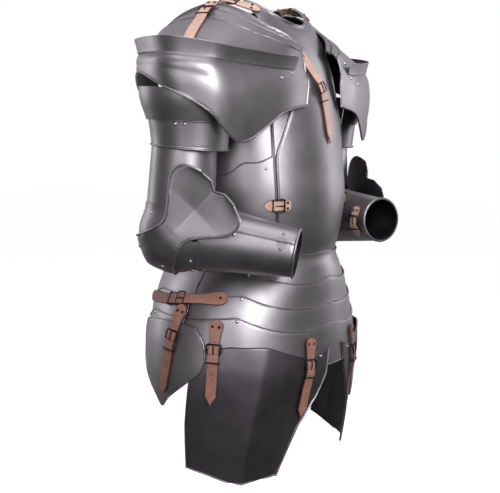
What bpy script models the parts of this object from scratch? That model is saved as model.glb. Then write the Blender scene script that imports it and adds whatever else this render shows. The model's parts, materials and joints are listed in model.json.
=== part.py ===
# Half armour of steel plates, worn shape, empty: cuirass, skirt, tassets, pauldrons and arms.
#
# Metres, +Z up. The front of the armour faces -Y and the wearer's right is -X. The origin lies
# midway between the shoulders, level with the top edges of the two pauldrons.
# Tables give places as (out, ahead, height): out is the distance from the middle towards the
# wearer's side being built, ahead is the distance towards the front.
import math

import bmesh
import bpy
import numpy as np

# Sheet metal, leather and seams
PLATE = 0.0015
LEATHER = 0.0026
LAYER = 0.0023
SEAM = 0.0006
STRAP_WIDTH = 0.019
# Height of a rolled edge above its plate
ROLL = 0.0022
# Room under a strap
STRAP_CLEARANCE = 0.0009

# Horizontal sections of the trunk from the neck to the hem of the tassets
TRUNK = [
    # half_width, depth to front, depth to back, ahead, height at front, at side, at back
    (0.080, 0.073, 0.076, 0.014, -0.029, 0.011, 0.004),
    (0.104, 0.085, 0.090, 0.015, -0.048, -0.004, -0.012),
    (0.130, 0.103, 0.106, 0.016, -0.088, -0.046, -0.052),
    (0.147, 0.118, 0.119, 0.018, -0.142, -0.116, -0.118),
    (0.155, 0.128, 0.128, 0.019, -0.205, -0.190, -0.190),
    (0.158, 0.136, 0.133, 0.019, -0.268, -0.264, -0.264),
    (0.157, 0.141, 0.134, 0.019, -0.325, -0.325, -0.325),
    (0.147, 0.138, 0.134, 0.016, -0.380, -0.380, -0.380),
    (0.141, 0.134, 0.138, 0.010, -0.423, -0.423, -0.423),
    (0.150, 0.144, 0.152, 0.006, -0.445, -0.445, -0.445),
    (0.168, 0.150, 0.159, 0.003, -0.468, -0.468, -0.468),
    (0.190, 0.153, 0.162, 0.001, -0.503, -0.503, -0.503),
    (0.204, 0.156, 0.160, 0.000, -0.540, -0.540, -0.540),
    (0.212, 0.158, 0.158, 0.000, -0.585, -0.585, -0.585),
    (0.214, 0.157, 0.157, 0.000, -0.635, -0.635, -0.635),
    (0.208, 0.146, 0.148, 0.000, -0.710, -0.710, -0.710),
    (0.196, 0.130, 0.134, 0.000, -0.795, -0.795, -0.795),
]
WAIST = -0.4235
# Angle of the side seam from the front: where the front plates end and the back plates start
FRONT_END = 45.3
SEAM_ANGLE = 45.6

# Front and rear lames of the skirt, from the waist down
LAMES = [
    # top edge at the middle, at the rivet angle, depth of the dip between, bottom at middle, at side
    (-0.4165, -0.411, 0.005, -0.476, -0.462),
    (-0.460, -0.446, 0.014, -0.520, -0.500),
    (-0.503, -0.484, 0.014, -0.557, -0.536),
    (-0.538, -0.518, 0.017, -0.614, -0.580),
]
RIVET_ANGLE = 60.0
SIDE_GAP = 2.0

# Sections of a pauldron from the neck edge to the lower edge
PAULDRON = [
    # front edge, chest, front of arm, front corner, crown, rear, back of arm, back edge
    [(0.040, 0.125, -0.072), (0.066, 0.108, -0.050), (0.088, 0.081, -0.033), (0.1035, 0.0425, -0.010),
     (0.1125, -0.002, 0.0045), (0.120, -0.045, -0.003), (0.126, -0.080, -0.020), (0.126, -0.108, -0.043)],
    [(0.058, 0.131, -0.081), (0.094, 0.119, -0.070), (0.136, 0.084, -0.052), (0.157, 0.050, -0.038),
     (0.165, 0.004, -0.028), (0.166, -0.044, -0.032), (0.154, -0.088, -0.046), (0.132, -0.116, -0.068)],
    [(0.062, 0.138, -0.108), (0.130, 0.130, -0.108), (0.206, 0.103, -0.101), (0.257, 0.081, -0.096),
     (0.284, 0.026, -0.089), (0.246, -0.052, -0.086), (0.182, -0.102, -0.084), (0.126, -0.124, -0.096)],
    [(0.056, 0.141, -0.128), (0.126, 0.138, -0.138), (0.216, 0.115, -0.150), (0.268, 0.087, -0.132),
     (0.298, 0.028, -0.116), (0.258, -0.050, -0.106), (0.190, -0.100, -0.112), (0.112, -0.126, -0.128)],
    [(0.060, 0.1405, -0.168), (0.126, 0.136, -0.182), (0.208, 0.108, -0.228), (0.266, 0.084, -0.178),
     (0.295, 0.030, -0.143), (0.262, -0.047, -0.118), (0.190, -0.099, -0.150), (0.102, -0.124, -0.166)],
]
PAULDRON_END = 7.0

# Arm
ARM_OUT = 0.232
ARM_AHEAD = 0.006
ARM_TOP = (0.222, 0.013, -0.185)
# Centre of the lames that hang from the pauldron around the upper arm
BAND_OUT = 0.217
BAND_AHEAD = 0.0165
ELBOW_HEIGHT = -0.373
CANNON_TOP_RADIUS = 0.0510
CANNON_LOW_RADIUS = 0.0572
FOREARM_RADIUS = 0.0585
FOREARM_TAPER = 0.100
FOREARM_LENGTH = 0.196
# Outer seam of the vambrace, in degrees from its top
VAMBRACE_SEAM = 62.0
CUP_RADIUS = 0.0690
INNER_CUP_RADIUS = 0.0662
# side: (sign of x, turn of the forearm inward, slope of the forearm downward), in degrees
ARMS = {"right": (-1, 24.0, 9.5), "left": (1, 25.0, 0.0)}

# Half-width of the couter at each stage of its path from the inner end to the wing's front
COUTER_WIDTHS = [
    # stage, half width
    (0.0, 0.020), (1.0, 0.038), (2.0, 0.045), (3.0, 0.044), (4.0, 0.036), (4.5, 0.0285), (5.0, 0.0255),
    (5.5, 0.034), (6.0, 0.046), (7.0, 0.0665), (8.0, 0.0650), (8.5, 0.0545), (9.0, 0.036),
]
CUP_STAGES = [(0.0, -80.0), (1.0, -55.0), (2.0, -10.0), (3.0, 30.0), (4.0, 62.0)]
# Path of the wing past the cup: towards the crook of the elbow, and out to the side
WING_PATH = [(4.0, -0.0324, 0.0609), (4.5, -0.010, 0.0686), (5.0, 0.010, 0.0700), (6.0, 0.042, 0.0724),
             (7.0, 0.070, 0.0742), (8.0, 0.094, 0.0752), (9.0, 0.1095, 0.0756)]
WING_FOLD = 0.0070
WING_NOTCH = 0.009

STEEL = (0.30, 0.28, 0.30, 1.0)
DARK_STEEL = (0.13, 0.115, 0.13, 1.0)
UPPER_LEATHER = (0.80, 0.52, 0.40, 1.0)
LOWER_LEATHER = (0.42, 0.19, 0.14, 1.0)


def clear_scene():
    """Start from an empty scene."""
    for item in list(bpy.data.objects):
        bpy.data.objects.remove(item, do_unlink=True)


def material(name, colour, metallic, roughness):
    """One Principled material."""
    made = bpy.data.materials.new(name)
    made.use_nodes = True
    shader = made.node_tree.nodes["Principled BSDF"]
    shader.inputs["Base Color"].default_value = colour
    shader.inputs["Metallic"].default_value = metallic
    shader.inputs["Roughness"].default_value = roughness
    return made


def smooth(stages, values, at):
    """Smooth curve through values at stages, read at one or many places."""
    stages = np.asarray(stages, dtype=float)
    values = np.asarray(values, dtype=float)
    at = np.clip(np.asarray(at, dtype=float), stages[0], stages[-1])
    slopes = np.gradient(values, stages, axis=0)
    cell = np.clip(np.searchsorted(stages, at, side="right") - 1, 0, len(stages) - 2)
    span = stages[cell + 1] - stages[cell]
    part = (at - stages[cell]) / span
    if values.ndim > 1:
        shape = part.shape + (1,) * (values.ndim - 1)
        part = part.reshape(shape)
        span = span.reshape(shape)
    square = part * part
    cube = square * part
    return ((2 * cube - 3 * square + 1) * values[cell] + (cube - 2 * square + part) * span * slopes[cell]
            + (3 * square - 2 * cube) * values[cell + 1] + (cube - square) * span * slopes[cell + 1])


def table_curve(table, at, column=1):
    """Smooth curve through one column of a table whose first column is the stage."""
    return smooth([row[0] for row in table], [row[column] for row in table], at)


def placed(out, ahead, height, sign):
    """World points from distances out, ahead and up, on the side with that sign of x."""
    return np.stack([sign * np.asarray(out), -np.asarray(ahead), np.asarray(height)], axis=-1)


def grid_normals(points, ring, centre):
    """Unit normals of a grid of points, facing away from centre."""
    if ring:
        along = np.roll(points, -1, axis=1) - np.roll(points, 1, axis=1)
    else:
        along = np.gradient(points, axis=1)
    down = np.gradient(points, axis=0)
    normals = np.cross(along, down)
    normals /= np.maximum(np.linalg.norm(normals, axis=-1, keepdims=True), 1e-12)
    if np.sum(normals * (points - centre)) < 0:
        normals = -normals
    return normals


def wall_faces(rows, columns, ring):
    """Faces of a closed wall: outer grid first, inner grid after it."""
    count = rows * columns
    faces = []
    last = columns if ring else columns - 1
    for row in range(rows - 1):
        for column in range(last):
            beside = (column + 1) % columns
            first, second = row * columns + column, row * columns + beside
            third, fourth = first + columns, second + columns
            for corners in ((first, second, fourth), (first, fourth, third)):
                faces.append(corners)
                faces.append(tuple(count + corner for corner in reversed(corners)))
    for column in range(last):
        beside = (column + 1) % columns
        foot = (rows - 1) * columns
        faces.append((beside, column, count + column, count + beside))
        faces.append((foot + column, foot + beside, count + foot + beside, count + foot + column))
    if not ring:
        for row in range(rows - 1):
            start = row * columns
            under = (row + 1) * columns
            faces.append((start, under, count + under, count + start))
            end = start + columns - 1
            below = under + columns - 1
            faces.append((below, end, count + end, count + below))
    return faces


def solid(name, vertices, faces, finish):
    """One closed body with its faces pointing out."""
    mesh = bpy.data.meshes.new(name)
    work = bmesh.new()
    made = [work.verts.new(point) for point in vertices]
    for face in faces:
        work.faces.new([made[index] for index in face])
    bmesh.ops.recalc_face_normals(work, faces=work.faces)
    work.to_mesh(mesh)
    work.free()
    mesh.materials.append(finish)
    mesh.shade_smooth()
    mesh.set_sharp_from_angle(angle=math.radians(35.0))
    item = bpy.data.objects.new(name, mesh)
    bpy.context.scene.collection.objects.link(item)
    return item


def sheet(name, points, finish, centre, ring=False, lift=0.0, thickness=PLATE):
    """A sheet of even thickness whose outer face is the grid moved out by lift."""
    points = np.asarray(points, dtype=float)
    normals = grid_normals(points, ring, np.asarray(centre, dtype=float))
    lift = np.asarray(lift)
    if lift.ndim:
        lift = lift[..., None]
    outer = points + normals * lift
    inner = outer - normals * thickness
    rows, columns = points.shape[:2]
    vertices = np.concatenate([outer.reshape(-1, 3), inner.reshape(-1, 3)])
    return solid(name, vertices.tolist(), wall_faces(rows, columns, ring), finish)


def trunk_point(angle, stage, sign=-1):
    """Point on the trunk at an angle from the front, in degrees, and a stage of the table."""
    values = smooth(np.arange(len(TRUNK)), np.array(TRUNK), stage)
    turn = np.radians(angle)
    front = np.maximum(np.cos(turn), 0.0) ** 2
    back = np.maximum(-np.cos(turn), 0.0) ** 2
    side_height = values[..., 5]
    height = side_height + (values[..., 4] - side_height) * front + (values[..., 6] - side_height) * back
    out = values[..., 0] * np.sin(turn)
    depth = np.where(np.cos(turn) > 0.0, values[..., 1], values[..., 2])
    ahead = values[..., 3] + depth * np.cos(turn)
    return placed(out, ahead, height, sign)


def trunk_stage(angle, height):
    """Stage of the trunk table at a height, for one angle."""
    stages = np.linspace(0.0, len(TRUNK) - 1.0, 400)
    heights = trunk_point(np.full_like(stages, angle), stages)[..., 2]
    return float(np.interp(-height, -heights, stages))


def trunk_patch(low, high, top, bottom, columns, parts, sign=-1):
    """Grid on the trunk between two angles; top and bottom give the heights, parts the rows between."""
    grid = np.zeros((len(parts), columns, 3))
    for row, part in enumerate(parts):
        for column in range(columns):
            angle = low + (high - low) * column / (columns - 1)
            start = trunk_stage(angle, top(angle))
            end = trunk_stage(angle, bottom(angle))
            grid[row, column] = trunk_point(angle, start + (end - start) * part, sign)
    return grid


def trunk_axis(height):
    """Point inside the trunk that its plates face away from."""
    return (0.0, 0.0, height)


def stage_patch(limits, stages, columns, sign=-1):
    """Grid on the trunk by rows of stages, each between its own two angles."""
    grid = np.zeros((len(stages), columns, 3))
    for row, stage in enumerate(stages):
        low, high = limits(stage)
        for column in range(columns):
            angle = low + (high - low) * column / (columns - 1)
            grid[row, column] = trunk_point(angle, stage, sign)
    return grid


# Where the breastplate's side edge lies: (stage of the trunk, angle from the front)
BREAST_EDGE = [(0.0, 80.0), (0.6, 70.0), (1.2, 56.0), (2.0, 42.0), (2.8, 32.0), (3.3, 29.0), (3.85, 35.0),
               (4.3, 40.0), (4.75, FRONT_END), (8.2, FRONT_END)]
# Where the back plate's side edge lies
BACK_EDGE = [(0.0, 100.0), (0.8, 106.0), (1.6, 112.0), (2.3, 112.0), (2.8, 104.0), (3.1, 88.0),
             (3.4, 70.0), (3.65, 56.0), (3.85, SEAM_ANGLE), (5.7, SEAM_ANGLE)]
# Top edge of the lower back plate: (angle, height)
LOWER_BACK_EDGE = [(45.0, -0.248), (57.0, -0.261), (68.0, -0.263), (74.0, -0.275), (90.0, -0.282),
                   (120.0, -0.262), (150.0, -0.232), (180.0, -0.205)]


def build_cuirass(steel):
    """Breastplate, side gussets and the two back plates."""
    def breast_limits(stage):
        edge = float(np.interp(stage, [row[0] for row in BREAST_EDGE], [row[1] for row in BREAST_EDGE]))
        return -edge, edge

    stages = [0.0, 0.3, 0.7, 1.2, 1.8, 2.4, 2.9, 3.3, 3.85, 4.3, 4.75, 5.4, 6.2, 7.0, 7.5, 7.8, 8.01]
    grid = stage_patch(breast_limits, stages, 15)
    roll = np.zeros(grid.shape[:2])
    roll[0] = ROLL
    sheet("breastplate", grid, steel, trunk_axis(-0.25), lift=LAYER + roll)

    def gusset_limits(stage):
        edge = float(np.interp(stage, [row[0] for row in BREAST_EDGE], [row[1] for row in BREAST_EDGE]))
        return min(edge - 5.0, 40.3), FRONT_END

    for name, (sign, _, _) in ARMS.items():
        grid = stage_patch(gusset_limits, [3.05, 3.4, 3.85, 4.3, 4.6, 4.9], 6, sign)
        sheet(name + "_gusset", grid, steel, trunk_axis(-0.20))

    def back_limits(stage):
        edge = float(np.interp(stage, [row[0] for row in BACK_EDGE], [row[1] for row in BACK_EDGE]))
        return edge, 360.0 - edge

    stages = [0.0, 0.4, 0.9, 1.6, 2.3, 2.8, 3.1, 3.4, 3.65, 3.85, 4.3, 4.75, 5.2, 5.6]
    grid = stage_patch(back_limits, stages, 21)
    roll = np.zeros(grid.shape[:2])
    roll[0] = ROLL
    sheet("back_upper", grid, steel, trunk_axis(-0.20), lift=roll)

    def top(angle):
        return float(table_curve(LOWER_BACK_EDGE, min(angle, 360.0 - angle)))

    parts = [0.0, 0.15, 0.32, 0.5, 0.68, 0.82, 0.92, 1.0]
    grid = trunk_patch(SEAM_ANGLE, 360.0 - SEAM_ANGLE, top, lambda _: WAIST, 21, parts)
    sheet("back_lower", grid, steel, trunk_axis(-0.35), lift=LAYER)


def lame_top(row, angle):
    """Height of a skirt lame's scalloped top edge at an angle from the nearer middle."""
    middle, rivet, dip = row[0], row[1], row[2]
    near = min(abs(angle) / RIVET_ANGLE, 1.0)
    wave = abs(math.sin(math.pi * angle / RIVET_ANGLE))
    depth = dip if abs(angle) < RIVET_ANGLE else dip * 0.25
    return middle + (rivet - middle) * near - depth * wave


def build_skirt(steel):
    """Four front lames and four rear lames, each lower one outside the one above."""
    half = 90.0 - SIDE_GAP
    for index, row in enumerate(LAMES):
        for name, middle in (("fauld_lame", 0.0), ("culet_lame", 180.0)):
            def top(angle, middle=middle, row=row):
                return lame_top(row, angle - middle)

            def bottom(angle, middle=middle, row=row):
                part = (abs(angle - middle) / 90.0) ** 2
                return row[3] + (row[4] - row[3]) * part

            parts = [0.0, 0.18, 0.4, 0.7, 1.0] if index == 0 else [0.0, 0.33, 0.66, 1.0]
            grid = trunk_patch(middle - half, middle + half, top, bottom, 23, parts)
            sheet(f"{name}_{index + 1}", grid, steel, trunk_axis(-0.50), lift=(2 + index) * LAYER)


# Front tasset: angle of the inner edge, ridge and outer edge by part of the way down
TASSET_EDGES = [
    # part down, inner edge, ridge, outer edge
    (0.0, 6.0, 44.0, 81.0),
    (0.2, 8.0, 46.5, 84.0),
    (0.6, 24.0, 51.5, 88.0),
    (1.0, 34.0, 56.0, 90.0),
]
TASSET_TOP = [(6.0, -0.581), (22.0, -0.592), (44.0, -0.566), (62.0, -0.564), (81.0, -0.570), (92.0, -0.575)]
TASSET_BOTTOM = [(6.0, -0.780), (34.0, -0.782), (56.0, -0.795), (90.0, -0.771), (92.0, -0.771)]
TASSET_RIDGE = 0.008
RIDGE_REACH = 19.0
# Side tasset: height and half angle from its own middle
SIDE_TASSET = [(-0.536, 22.0), (-0.556, 27.0), (-0.580, 29.0), (-0.604, 27.0), (-0.623, 20.0),
               (-0.640, 12.5), (-0.655, 6.0), (-0.671, 1.0)]
SIDE_TASSET_ANGLE = 104.0


def build_tassets(dark):
    """The ridged front pair and the leaf-shaped side pair."""
    rows, half_columns = 10, 6
    for name, (sign, _, _) in ARMS.items():
        grid = np.zeros((rows, 2 * half_columns + 1, 3))
        lift = np.zeros(grid.shape[:2])
        for row in range(rows):
            part = row / (rows - 1)
            inner, ridge, outer = [float(np.interp(part, [e[0] for e in TASSET_EDGES],
                                                   [e[k] for e in TASSET_EDGES])) for k in (1, 2, 3)]
            across = np.concatenate([np.linspace(inner, ridge, half_columns + 1),
                                     np.linspace(ridge, outer, half_columns + 1)[1:]])
            for column, angle in enumerate(across):
                top = float(table_curve(TASSET_TOP, angle))
                bottom = float(table_curve(TASSET_BOTTOM, angle))
                grid[row, column] = trunk_point(angle, trunk_stage(angle, top + (bottom - top) * part), sign)
                lift[row, column] = 6 * LAYER + TASSET_RIDGE * max(0.0, 1.0 - abs(angle - ridge) / RIDGE_REACH)
        sheet(name + "_front_tasset", grid, dark, trunk_axis(-0.66), lift=lift)

        grid = np.zeros((len(SIDE_TASSET), 9, 3))
        for row, (height, spread) in enumerate(SIDE_TASSET):
            for column in range(9):
                angle = SIDE_TASSET_ANGLE + spread * (column / 4.0 - 1.0)
                bow = 0.006 * (1.0 - (column / 4.0 - 1.0) ** 2) if row == 0 else 0.0
                grid[row, column] = trunk_point(angle, trunk_stage(angle, height + bow), sign)
        sheet(name + "_side_tasset", grid, dark, trunk_axis(-0.60), lift=7.3 * LAYER)


def pauldron_point(across, down, sign):
    """Point on a pauldron: across runs 0 to 7 from front to back, down runs 0 to 4 from the neck."""
    table = np.array(PAULDRON)
    rows = smooth(np.arange(len(PAULDRON)), table, np.asarray(down, dtype=float))
    point = smooth(np.arange(table.shape[1]), rows, across)
    return placed(point[..., 0], point[..., 1], point[..., 2], sign)


def pauldron_grid(first, last, stages, columns, sign):
    """Grid on a pauldron between two stages across, a row for each stage down."""
    grid = np.zeros((len(stages), columns, 3))
    for row, down in enumerate(stages):
        for column in range(columns):
            grid[row, column] = pauldron_point(first + (last - first) * column / (columns - 1), down, sign)
    return grid


def arm_band(top, bottom, radius, sign, columns, rows, tilt):
    """Open band around the upper arm, its gap towards the armpit."""
    grid = np.zeros((rows, columns, 3))
    for row in range(rows):
        part = row / (rows - 1)
        for column in range(columns):
            turn = math.radians(-28.0 + 236.0 * column / (columns - 1))
            size = radius[0] + (radius[1] - radius[0]) * part
            height = top + (bottom - top) * part - tilt * math.cos(turn)
            out = BAND_OUT + size * math.sin(turn)
            grid[row, column] = placed(out, BAND_AHEAD + size * math.cos(turn), height, sign)
    return grid


def build_pauldrons(steel):
    """Neck lames, main plate, standing flange and the two lames over the upper arm."""
    for name, (sign, _, _) in ARMS.items():
        centre = (sign * 0.18, 0.0, -0.16)
        grid = pauldron_grid(0.0, PAULDRON_END, (0.0, 0.3, 0.62), 21, sign)
        roll = np.zeros(grid.shape[:2])
        roll[0] = ROLL
        sheet(name + "_neck_lame", grid, steel, centre, lift=roll)
        grid = pauldron_grid(0.0, PAULDRON_END, (0.46, 0.8, 1.12), 21, sign)
        sheet(name + "_shoulder_lame", grid, steel, centre, lift=LAYER)
        stages = (1.0, 1.2, 1.45, 1.75, 2.05, 2.4, 2.8, 3.2, 3.6, 4.0)
        grid = pauldron_grid(0.0, PAULDRON_END, stages, 21, sign)
        roll = np.zeros(grid.shape[:2])
        roll[-1] = ROLL
        sheet(name + "_pauldron", grid, steel, centre, lift=2 * LAYER + roll)

        foot = pauldron_grid(0.45, 6.2, (2.12,), 21, sign)
        grid = np.stack([foot[0], foot[0], foot[0]])
        normals = grid_normals(pauldron_grid(0.45, 6.2, (1.9, 2.1, 2.3), 21, sign), False, np.array(centre))[1]
        grid[2] += normals * (2 * LAYER + 0.0022)
        grid[1] += normals * (2 * LAYER + 0.0040)
        grid[1, :, 2] += 0.009
        grid[0] += normals * (2 * LAYER + 0.0085)
        grid[0, :, 2] += 0.019
        sheet(name + "_flange", grid, steel, centre)

        grid = arm_band(-0.142, -0.194, (0.0825, 0.0698), sign, 17, 4, 0.004)
        sheet(name + "_arm_lame_upper", grid, steel, (sign * BAND_OUT, 0.0, -0.17))
        grid = arm_band(-0.182, -0.237, (0.0690, 0.0620), sign, 17, 4, 0.006)
        roll = np.zeros(grid.shape[:2])
        roll[-1] = ROLL
        sheet(name + "_arm_lame_lower", grid, steel, (sign * BAND_OUT, 0.0, -0.21), lift=roll)


def elbow_frame(side):
    """Elbow centre and the directions ahead, up, out of the bend and along the forearm."""
    sign, turn, slope = ARMS[side]
    turn = math.radians(turn)
    slope = math.radians(slope)
    pivot = placed(ARM_OUT, ARM_AHEAD, ELBOW_HEIGHT, sign)
    ahead = placed(-math.sin(turn), math.cos(turn), 0.0, sign)
    up = np.array([0.0, 0.0, 1.0])
    aside = placed(math.cos(turn), math.sin(turn), 0.0, sign)
    fore = ahead * math.cos(slope) - up * math.sin(slope)
    top = up * math.cos(slope) + ahead * math.sin(slope)
    return pivot, ahead, up, aside, fore, top


def round_shell(origin, axis, first, second, profile, start, end, columns, cut=None, taper=0.0):
    """Grid of rings about an axis; profile gives (along, radius), cut moves the first ring by angle."""
    grid = np.zeros((len(profile), columns, 3))
    ring = abs(end - start) >= 360.0
    steps = columns if ring else columns - 1
    last = profile[-1][0]
    for column in range(columns):
        turn = math.radians(start + (end - start) * column / steps)
        direction = first * math.cos(turn) + second * math.sin(turn)
        for row, (along, radius) in enumerate(profile):
            place = along
            if cut is not None:
                head = cut(turn)
                place = head + (last - head) * (along - profile[0][0]) / (last - profile[0][0])
            grid[row, column] = origin + axis * place + direction * (radius - taper * (place - along))
    return grid


def elbow_lame_profile(tube_radius):
    """Flared lame: a close sleeve on the tube, then a zone of the sphere inside the couter."""
    sleeve = [(along, tube_radius(along) + PLATE + 1.3 * SEAM) for along in (0.046, 0.034)]
    zone = [(along, math.sqrt(INNER_CUP_RADIUS ** 2 - along ** 2)) for along in (0.018, 0.006, -0.008)]
    return sleeve + zone


def couter_grid(side, columns, rows):
    """Cup behind the elbow that runs on into the heart-shaped wing at the outer side."""
    pivot, ahead, up, aside, _, _ = elbow_frame(side)
    back = -(ahead + up) / math.sqrt(2.0)
    raised = (up - ahead) / math.sqrt(2.0)
    grid = np.zeros((rows, columns, 3))
    for column in range(columns):
        stage = 9.0 * column / (columns - 1)
        width = float(table_curve(COUTER_WIDTHS, stage))
        for row in range(rows):
            part = 1.0 - 2.0 * row / (rows - 1)
            rise = width * part
            flat = float(np.clip((stage - 3.2) / 1.6, 0.0, 1.0))
            round_off = math.sqrt(max(0.0, 1.0 - (rise / CUP_RADIUS) ** 2))
            shrink = (1.0 - flat) * round_off + flat
            if stage <= 4.0:
                turn = math.radians(float(table_curve(CUP_STAGES, stage)))
                path = (CUP_RADIUS * math.cos(turn), CUP_RADIUS * math.sin(turn))
            else:
                path = (-float(table_curve(WING_PATH, stage)), float(table_curve(WING_PATH, stage, 2)))
            sunk = float(np.clip((stage - 5.0) / 1.5, 0.0, 1.0))
            notch = WING_NOTCH * max(0.0, 1.0 - abs(part) / 0.4) * float(np.clip((stage - 6.5) / 2.5, 0.0, 1.0))
            fold = (1.0 - abs(part)) * (0.0012 * flat + WING_FOLD * sunk)
            keel = 0.0035 * max(0.0, 1.0 - abs(part) / 0.5) * (1.0 - flat)
            along_back = path[0] * shrink + notch + keel * math.cos(math.radians(40.0))
            grid[row, column] = pivot + back * along_back + aside * (path[1] * shrink - fold) + raised * rise
    return grid


def build_arm(side, steel):
    """Upper cannon, couter with its two lames, and the two halves of the vambrace."""
    pivot, ahead, _, aside, fore, top = elbow_frame(side)
    reach = placed(*ARM_TOP, ARMS[side][0]) - pivot
    length = float(np.linalg.norm(reach))
    up = reach / length
    ahead = np.cross(aside, up) * np.sign(np.dot(np.cross(aside, up), ahead))
    ahead /= np.linalg.norm(ahead)
    aside = np.cross(ahead, up) * np.sign(np.dot(np.cross(ahead, up), aside))
    widen = CANNON_LOW_RADIUS - CANNON_TOP_RADIUS

    def cannon_radius(along):
        return CANNON_LOW_RADIUS - widen * along / length

    def cannon_cut(turn):
        return 0.010 + 0.060 * ((1.0 + math.cos(turn)) / 2.0) ** 2

    profile = [(0.010, CANNON_LOW_RADIUS), (0.06, cannon_radius(0.06)), (0.12, cannon_radius(0.12)),
               (length, CANNON_TOP_RADIUS)]
    grid = round_shell(pivot, up, ahead, aside, profile, 0.0, 360.0, 20, cannon_cut, widen / length)
    sheet(side + "_upper_cannon", grid, steel, pivot + up * 0.1, ring=True)

    grid = round_shell(pivot, up, -ahead, aside, elbow_lame_profile(cannon_radius), -72.0, 72.0, 12)
    sheet(side + "_elbow_lame_upper", grid, steel, pivot)

    grid = couter_grid(side, 20, 9)
    sheet(side + "_couter", grid, steel, pivot)

    def forearm_radius(along):
        return FOREARM_RADIUS - FOREARM_TAPER * along

    aside = elbow_frame(side)[3]
    grid = round_shell(pivot, fore, -top, aside, elbow_lame_profile(forearm_radius), -72.0, 72.0, 12)
    sheet(side + "_elbow_lame_lower", grid, steel, pivot)

    def forearm_cut(turn):
        return 0.022 + 0.055 * ((1.0 + math.cos(turn)) / 2.0) ** 1.5

    stations = [0.022, 0.07, 0.11, 0.15, 0.186, FOREARM_LENGTH]
    profile = [(place, forearm_radius(place)) for place in stations]
    parting = math.degrees(SEAM / 2 / FOREARM_RADIUS) + 0.3
    for half, start in (("upper", VAMBRACE_SEAM - 180.0 + parting), ("lower", VAMBRACE_SEAM + parting)):
        grid = round_shell(pivot, fore, top, aside, profile, start, start + 180.0 - 2 * parting, 12,
                           forearm_cut, FOREARM_TAPER)
        roll = np.zeros(grid.shape[:2])
        roll[-1] = ROLL
        sheet(f"{side}_vambrace_{half}", grid, steel, pivot + fore * 0.11, lift=roll)


# Shape of a strap by part of its length: width and thickness as shares of the plain strap
STRAP_SHAPE = [
    # part, width, thickness
    (0.0, 0.62, 1.0), (0.04, 1.0, 1.0), (0.30, 1.0, 1.0), (0.33, 1.34, 2.1), (0.42, 1.34, 2.1),
    (0.45, 1.0, 1.0), (0.53, 1.16, 1.7), (0.57, 1.16, 1.7), (0.60, 1.0, 1.0), (0.92, 1.0, 1.0),
    (1.0, 0.14, 1.0),
]


def strap(name, place, leather, width=STRAP_WIDTH, shape=STRAP_SHAPE, steps=5):
    """Leather strap with its buckle and keeper; place gives a point and a normal by part of the length."""
    vertices = []
    faces = []
    stages = sorted({row[0] for row in shape} | {index / steps for index in range(steps + 1)})
    count = len(stages)
    for index, part in enumerate(stages):
        wide = float(np.interp(part, [row[0] for row in shape], [row[1] for row in shape]))
        thick = float(np.interp(part, [row[0] for row in shape], [row[2] for row in shape]))
        point, normal = place(part)
        before, _ = place(max(part - 0.02, 0.0))
        after, _ = place(min(part + 0.02, 1.0))
        along = (after - before) / np.linalg.norm(after - before)
        normal = normal - along * np.dot(normal, along)
        normal /= np.linalg.norm(normal)
        across = np.cross(normal, along) * width * wide / 2
        rise = normal * LEATHER * thick
        vertices += [point - across, point + across, point + across + rise, point - across + rise]
        if index:
            start = 4 * (index - 1)
            for corner in range(4):
                beside = (corner + 1) % 4
                faces.append((start + corner, start + beside, start + 4 + beside, start + 4 + corner))
    faces.append((0, 1, 2, 3))
    faces.append(tuple(4 * (count - 1) + corner for corner in (3, 2, 1, 0)))
    solid(name, [tuple(point) for point in vertices], faces, leather)


def trunk_place(path, lift, sign):
    """Point and normal on the trunk along a path of (part, angle, height)."""
    def place(part):
        angle = float(table_curve(path, part, 1))
        height = float(table_curve(path, part, 2))
        stage = trunk_stage(angle, height)
        point = trunk_point(angle, stage, sign)
        east = trunk_point(angle + 1.0, stage, sign) - trunk_point(angle - 1.0, stage, sign)
        south = trunk_point(angle, stage + 0.05, sign) - trunk_point(angle, stage - 0.05, sign)
        normal = np.cross(east, south)
        if np.dot(normal, point - np.array([0.0, 0.0, point[2]])) < 0:
            normal = -normal
        normal /= np.linalg.norm(normal)
        return point + normal * lift, normal
    return place


def pauldron_place(path, lift, sign):
    """Point and normal on a pauldron along a path of (part, across, down)."""
    def place(part):
        across = float(table_curve(path, part, 1))
        down = float(table_curve(path, part, 2))
        point = pauldron_point(across, down, sign)
        east = pauldron_point(across + 0.1, down, sign) - pauldron_point(across - 0.1, down, sign)
        south = pauldron_point(across, down + 0.1, sign) - pauldron_point(across, max(down - 0.1, 0.0), sign)
        normal = np.cross(east, south)
        if np.dot(normal, point - np.array([sign * 0.16, 0.0, -0.20])) < 0:
            normal = -normal
        normal /= np.linalg.norm(normal)
        return point + normal * lift, normal
    return place


def forearm_place(side, along, start, end, lift):
    """Point and normal around the forearm at a distance along it, between two angles from its top."""
    pivot, _, _, aside, fore, top = elbow_frame(side)
    radius = FOREARM_RADIUS - FOREARM_TAPER * along + lift

    def place(part):
        turn = math.radians(start + (end - start) * part)
        radial = top * math.cos(turn) + aside * math.sin(turn)
        normal = radial + fore * FOREARM_TAPER
        return pivot + fore * along + radial * radius, normal / np.linalg.norm(normal)
    return place


# Short straps: plain leaf with a buckle in the middle
SHORT_SHAPE = [
    # part, width, thickness
    (0.0, 0.7, 1.0), (0.08, 1.0, 1.0), (0.36, 1.0, 1.0), (0.42, 1.34, 2.1), (0.58, 1.34, 2.1),
    (0.64, 1.0, 1.0), (0.90, 1.0, 1.0), (1.0, 0.4, 1.0),
]
# Hinge: two flat leaves with the knuckle between them
HINGE_SHAPE = [
    # part, width, thickness
    (0.0, 1.0, 0.6), (0.38, 1.0, 0.6), (0.44, 1.0, 1.5), (0.56, 1.0, 1.5), (0.62, 1.0, 0.6), (1.0, 1.0, 0.6),
]

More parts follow.
